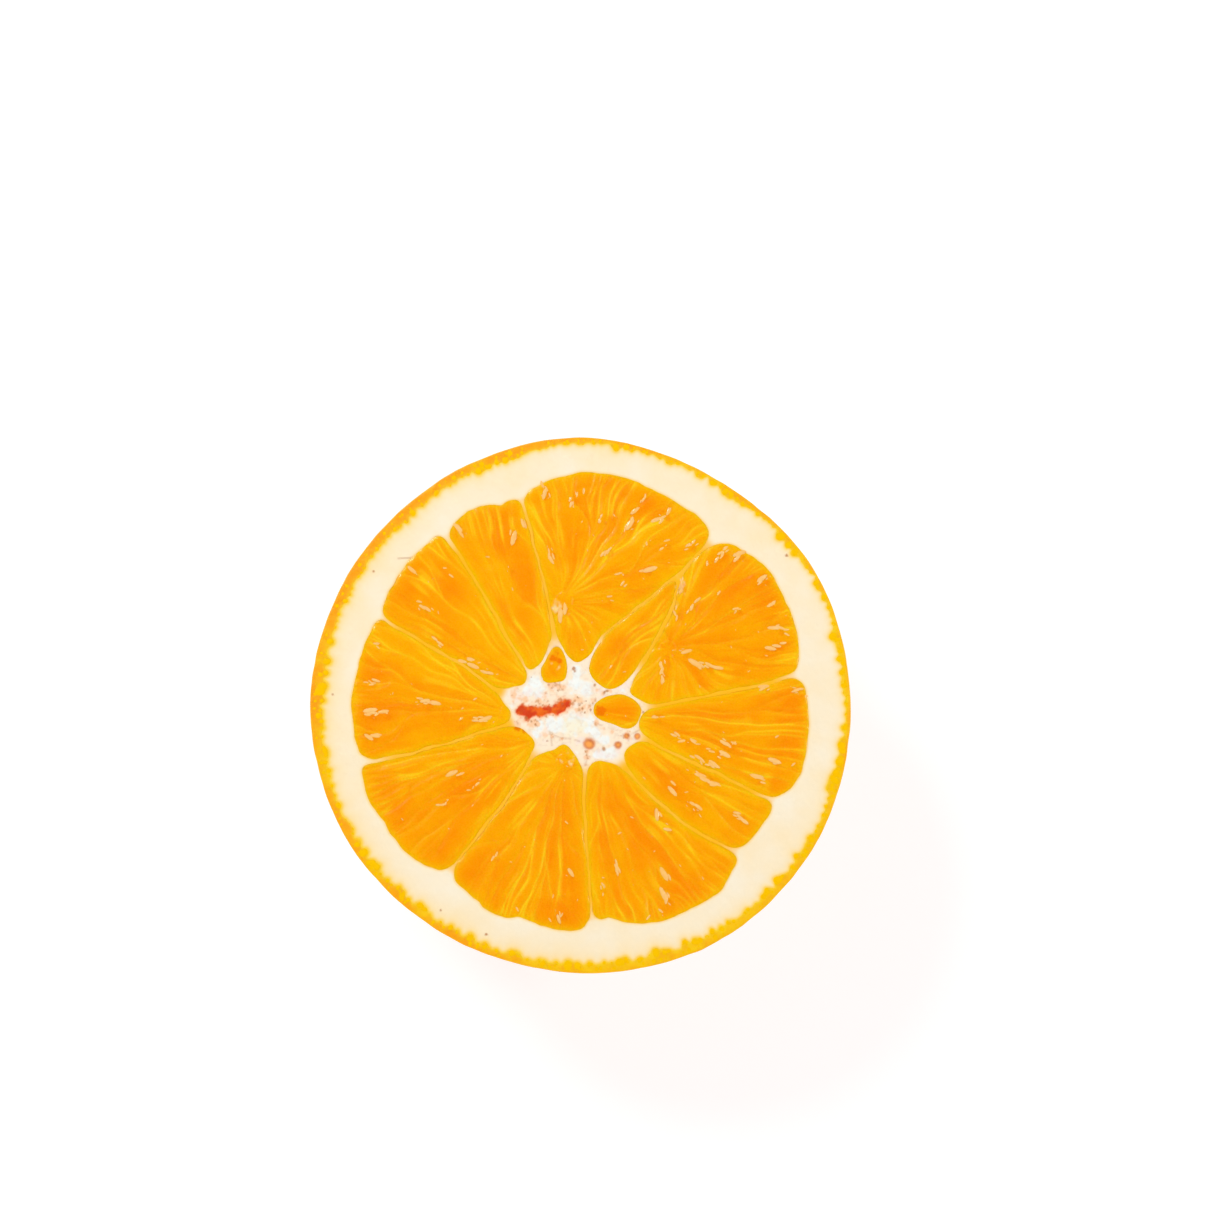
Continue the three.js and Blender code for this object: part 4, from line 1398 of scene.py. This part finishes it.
def pressPores(place, faces, values):
    # the skin's points and values once its pores are in
    body = newBody()
    addPoints(body, place)
    body["faces"].append(faces)
    mesh = meshOf(body, "skin", [skinMaterial], values)
    skin = runTree(poreTree, mesh, Material=skinMaterial, **skinShape["pores"])
    flat, pore = np.empty(len(skin.vertices) * 3), np.empty(len(skin.vertices))
    skin.vertices.foreach_get("co", flat)
    skin.attributes["pore"].data.foreach_get("value", pore)
    bpy.data.meshes.remove(skin)
    values = {key: numbers for key, numbers in values.items() if key != "calm"}
    return flat.reshape(-1, 3) / mm, {**values, "pore": pore}


def makeRind():
    shape = rindShape
    turn, tilt, faces = domeGrid(shape["rimRings"])
    place, radius, calm, onBall = shapeSkin(turn, tilt)
    edgeCount = 4 * shape["rimRings"]
    place[-edgeCount:, 2] = cutHeight - shape["edgeDrop"]
    place, values = pressPores(place, faces, skinValues(turn, place, radius, calm, onBall))

    body = newBody()
    edge = addPoints(body, place)[-edgeCount:]
    body["faces"].append(faces)
    outer = place[edge][:, :2]
    points, triangles = fillRegion([outer, lobedEdge[::-1]], shape["spacing"], 9)
    toSkin = distanceTo(treeOf(evenLoop(outer, 0.1)), points)
    toPith = distanceTo(treeOf(lobedEdge), points)
    height = cutHeight - shape["edgeDrop"] * np.exp(-toSkin / 0.12)
    height += shape["cutGrain"] * layeredNoise(points, 0.7, 41, 3)
    height[edgeCount: edgeCount + len(lobedEdge)] = cutHeight - shape["seamDrop"]
    fresh = addPoints(body, np.column_stack([points, height])[edgeCount:])
    number = np.concatenate([edge, fresh])
    body["faces"].append(number[triangles])
    lobed = fresh[: len(lobedEdge)][::-1]
    bowl = outerBowl(body, cutHeight - shape["bottom"], shape["bowlDepth"], inward=True)
    addWall(body, np.roll(lobed, 1), bowl, inward=True)

    (share, side), (glow, glowReach) = shape["warmSide"], shape["pithGlow"]
    turned = np.arctan2(points[:, 1], points[:, 0])
    warm = 0.4 + 0.55 * np.cos(turned - math.radians(side)) + 0.5 * aroundNoise(turned, 9, 47)
    warm += 0.5 * layeredNoise(points, 2.2, 48, 2)
    onSkin, onCut = np.zeros(len(place)), np.zeros(len(fresh))
    values = {key: np.concatenate([numbers, onCut]) for key, numbers in values.items()}
    values["skinEdge"] = np.concatenate([onSkin + 1, np.exp(-toSkin / shape["skinReach"])[edgeCount:]])
    values["warmSide"] = np.concatenate([onSkin, share * np.clip(warm, 0, 1)[edgeCount:]])
    values["pithEdge"] = np.concatenate([onSkin, glow * np.exp(-toPith / glowReach)[edgeCount:]])
    faceMaterial = np.ones(sum(len(f) for f in body["faces"]), dtype=int)
    faceMaterial[: len(faces)] = 0
    mesh = meshOf(body, "rind", [skinMaterial, zestMaterial], values, faceMaterial)
    placePiece("rind_skin", mesh, ["rind"])


glandShape = {
    "lump": {"Length": 1.9 * mm, "Width": 1.7 * mm, "Height": 0.22 * mm, "Uneven": 0.15, "Seed": 2},
    "sunk": 0.03,  # how far the middle of each lies under the cut
}


def makeGlands():
    # what shows of the oil glands in the cut: low oily lenses
    height = np.full(len(glandAngles), cutHeight - glandShape["sunk"])
    across, along = glandDistances * np.cos(glandAngles), glandDistances * np.sin(glandAngles)
    cloud = pointCloud("oilGlands", np.column_stack([across, along, height]), glandRadii, glandAngles)
    mesh = runTree(lumpTree, cloud, Material=glandMaterial, **glandShape["lump"])
    placePiece("oil_glands", mesh)


makeRind()
makeGlands()
print("rind done")


# a round floor that bends up into a wall, in metres
stageShape = {
    "floorRadius": 0.9, "wallHeight": 0.7, "bend": 0.35, "around": 96, "bendSteps": 12,
    "finish": {
        "Base Color": (0.5, 0.5, 0.5, 1), "Roughness": 0.9, "Specular IOR Level": 0.0,
        "Emission Color": (1, 1, 1, 1), "Emission Strength": 0.62,
    },
}


def makeStage():
    shape = stageShape
    profile = [(shape["floorRadius"], 0)]
    for k in range(1, shape["bendSteps"] + 1):
        angle = k / shape["bendSteps"] * math.pi / 2
        out, up = shape["bend"] * math.sin(angle), shape["bend"] * (1 - math.cos(angle))
        profile.append((shape["floorRadius"] + out, up))
    profile.append((profile[-1][0], shape["wallHeight"]))
    count = shape["around"]
    points = [(0, 0, 0)]
    angles = [k * 2 * math.pi / count for k in range(count)]
    for radius, height in profile:
        points += [(radius * math.cos(a), radius * math.sin(a), height) for a in angles]
    faces = [(0, 1 + k, 1 + (k + 1) % count) for k in range(count)]
    for ring in range(len(profile) - 1):
        for k in range(count):
            a, b = 1 + ring * count + k, 1 + ring * count + (k + 1) % count
            faces.append((a, a + count, b + count, b))
    mesh = bpy.data.meshes.new("paleSweep")
    mesh.from_pydata(points, [], faces)
    mesh.polygons.foreach_set("use_smooth", [True] * len(faces))
    material, tree, shader = newMaterial("palePaper")
    plug(tree, shader, **shape["finish"])
    material.cycles.emission_sampling = "NONE"  # the glow is even, so no rays need to be aimed at it
    mesh.materials.append(material)
    floor = bpy.data.objects.new("paleSweep", mesh)
    bpy.context.scene.collection.objects.link(floor)


lampSettings = {
    "keyLight": {"place": (-0.30, 0.34, 0.50), "size": 0.24, "power": 2.45},
    "fillLight": {"place": (0.46, 0.06, 0.40), "size": 0.3, "power": 1.3},
    "lowLight": {"place": (-0.12, -0.5, 0.36), "size": 0.4, "power": 1.1},
}
aimPoint = (0, 0, 0.03)


def addLamp(name, settings):
    light = bpy.data.lights.new(name, "AREA")
    light.shape = "DISK"
    light.size = settings["size"]
    light.energy = settings["power"]
    lamp = bpy.data.objects.new(name, light)
    lamp.location = settings["place"]
    lamp.rotation_euler = (Vector(aimPoint) - lamp.location).to_track_quat("-Z", "Y").to_euler()
    bpy.context.scene.collection.objects.link(lamp)


roomLight = {"horizon": 0.28, "zenith": 0.02, "dimFrom": 0.35, "dimTo": 0.95}


def setRoom():
    # pale all round and dim overhead, so that the wet cut face keeps its colour
    world = bpy.data.worlds.new("paleRoom")
    world.use_nodes = True
    tree = world.node_tree
    place = tree.nodes.new("ShaderNodeTexCoord").outputs["Generated"]
    split = plug(tree, tree.nodes.new("ShaderNodeSeparateXYZ"), Vector=place)
    ramp = tree.nodes.new("ShaderNodeMapRange")
    ramp.interpolation_type = "SMOOTHSTEP"
    plug(tree, ramp, Value=split.outputs["Z"], From_Min=roomLight["dimFrom"], From_Max=roomLight["dimTo"],
         To_Min=roomLight["horizon"], To_Max=roomLight["zenith"])
    plug(tree, tree.nodes["Background"], Color=(1, 1, 1, 1), Strength=ramp.outputs["Result"])
    bpy.context.scene.world = world


cameraView = {
    "imageSize": 1214, "faceCentre": (581.5, 704.0),  # in pixels: the frame, and the cut's middle in it
    "scale": 0.1524,  # millimetres a pixel at the cut
    "lens": 100, "elevation": 85.5, "azimuth": 233,
}


def setCamera():
    view = cameraView
    half = view["imageSize"] / 2
    column, row = view["faceCentre"]
    aim = Vector(((half - column) * view["scale"], (row - half) * view["scale"], cutHeight)) * mm
    data = bpy.data.cameras.new("camera")
    data.lens = view["lens"]
    data.clip_start = 0.01
    distance = half * view["scale"] * mm / (data.sensor_width / 2 / view["lens"])
    tilt, turn = math.radians(view["elevation"]), math.radians(view["azimuth"])
    away = Vector((math.cos(tilt) * math.cos(turn), math.cos(tilt) * math.sin(turn), math.sin(tilt)))
    right = Vector((0, 1, 0)).cross(away).normalized()
    axes = Matrix((right, away.cross(right), away)).transposed().to_4x4()
    camera = bpy.data.objects.new("camera", data)
    camera.matrix_world = Matrix.Translation(aim + away * distance) @ axes
    bpy.context.scene.collection.objects.link(camera)
    bpy.context.scene.camera = camera


makeStage()
for name, settings in lampSettings.items():
    addLamp(name, settings)
setRoom()
setCamera()
bpy.context.scene.view_settings.view_transform = "Standard"
print("stage done")
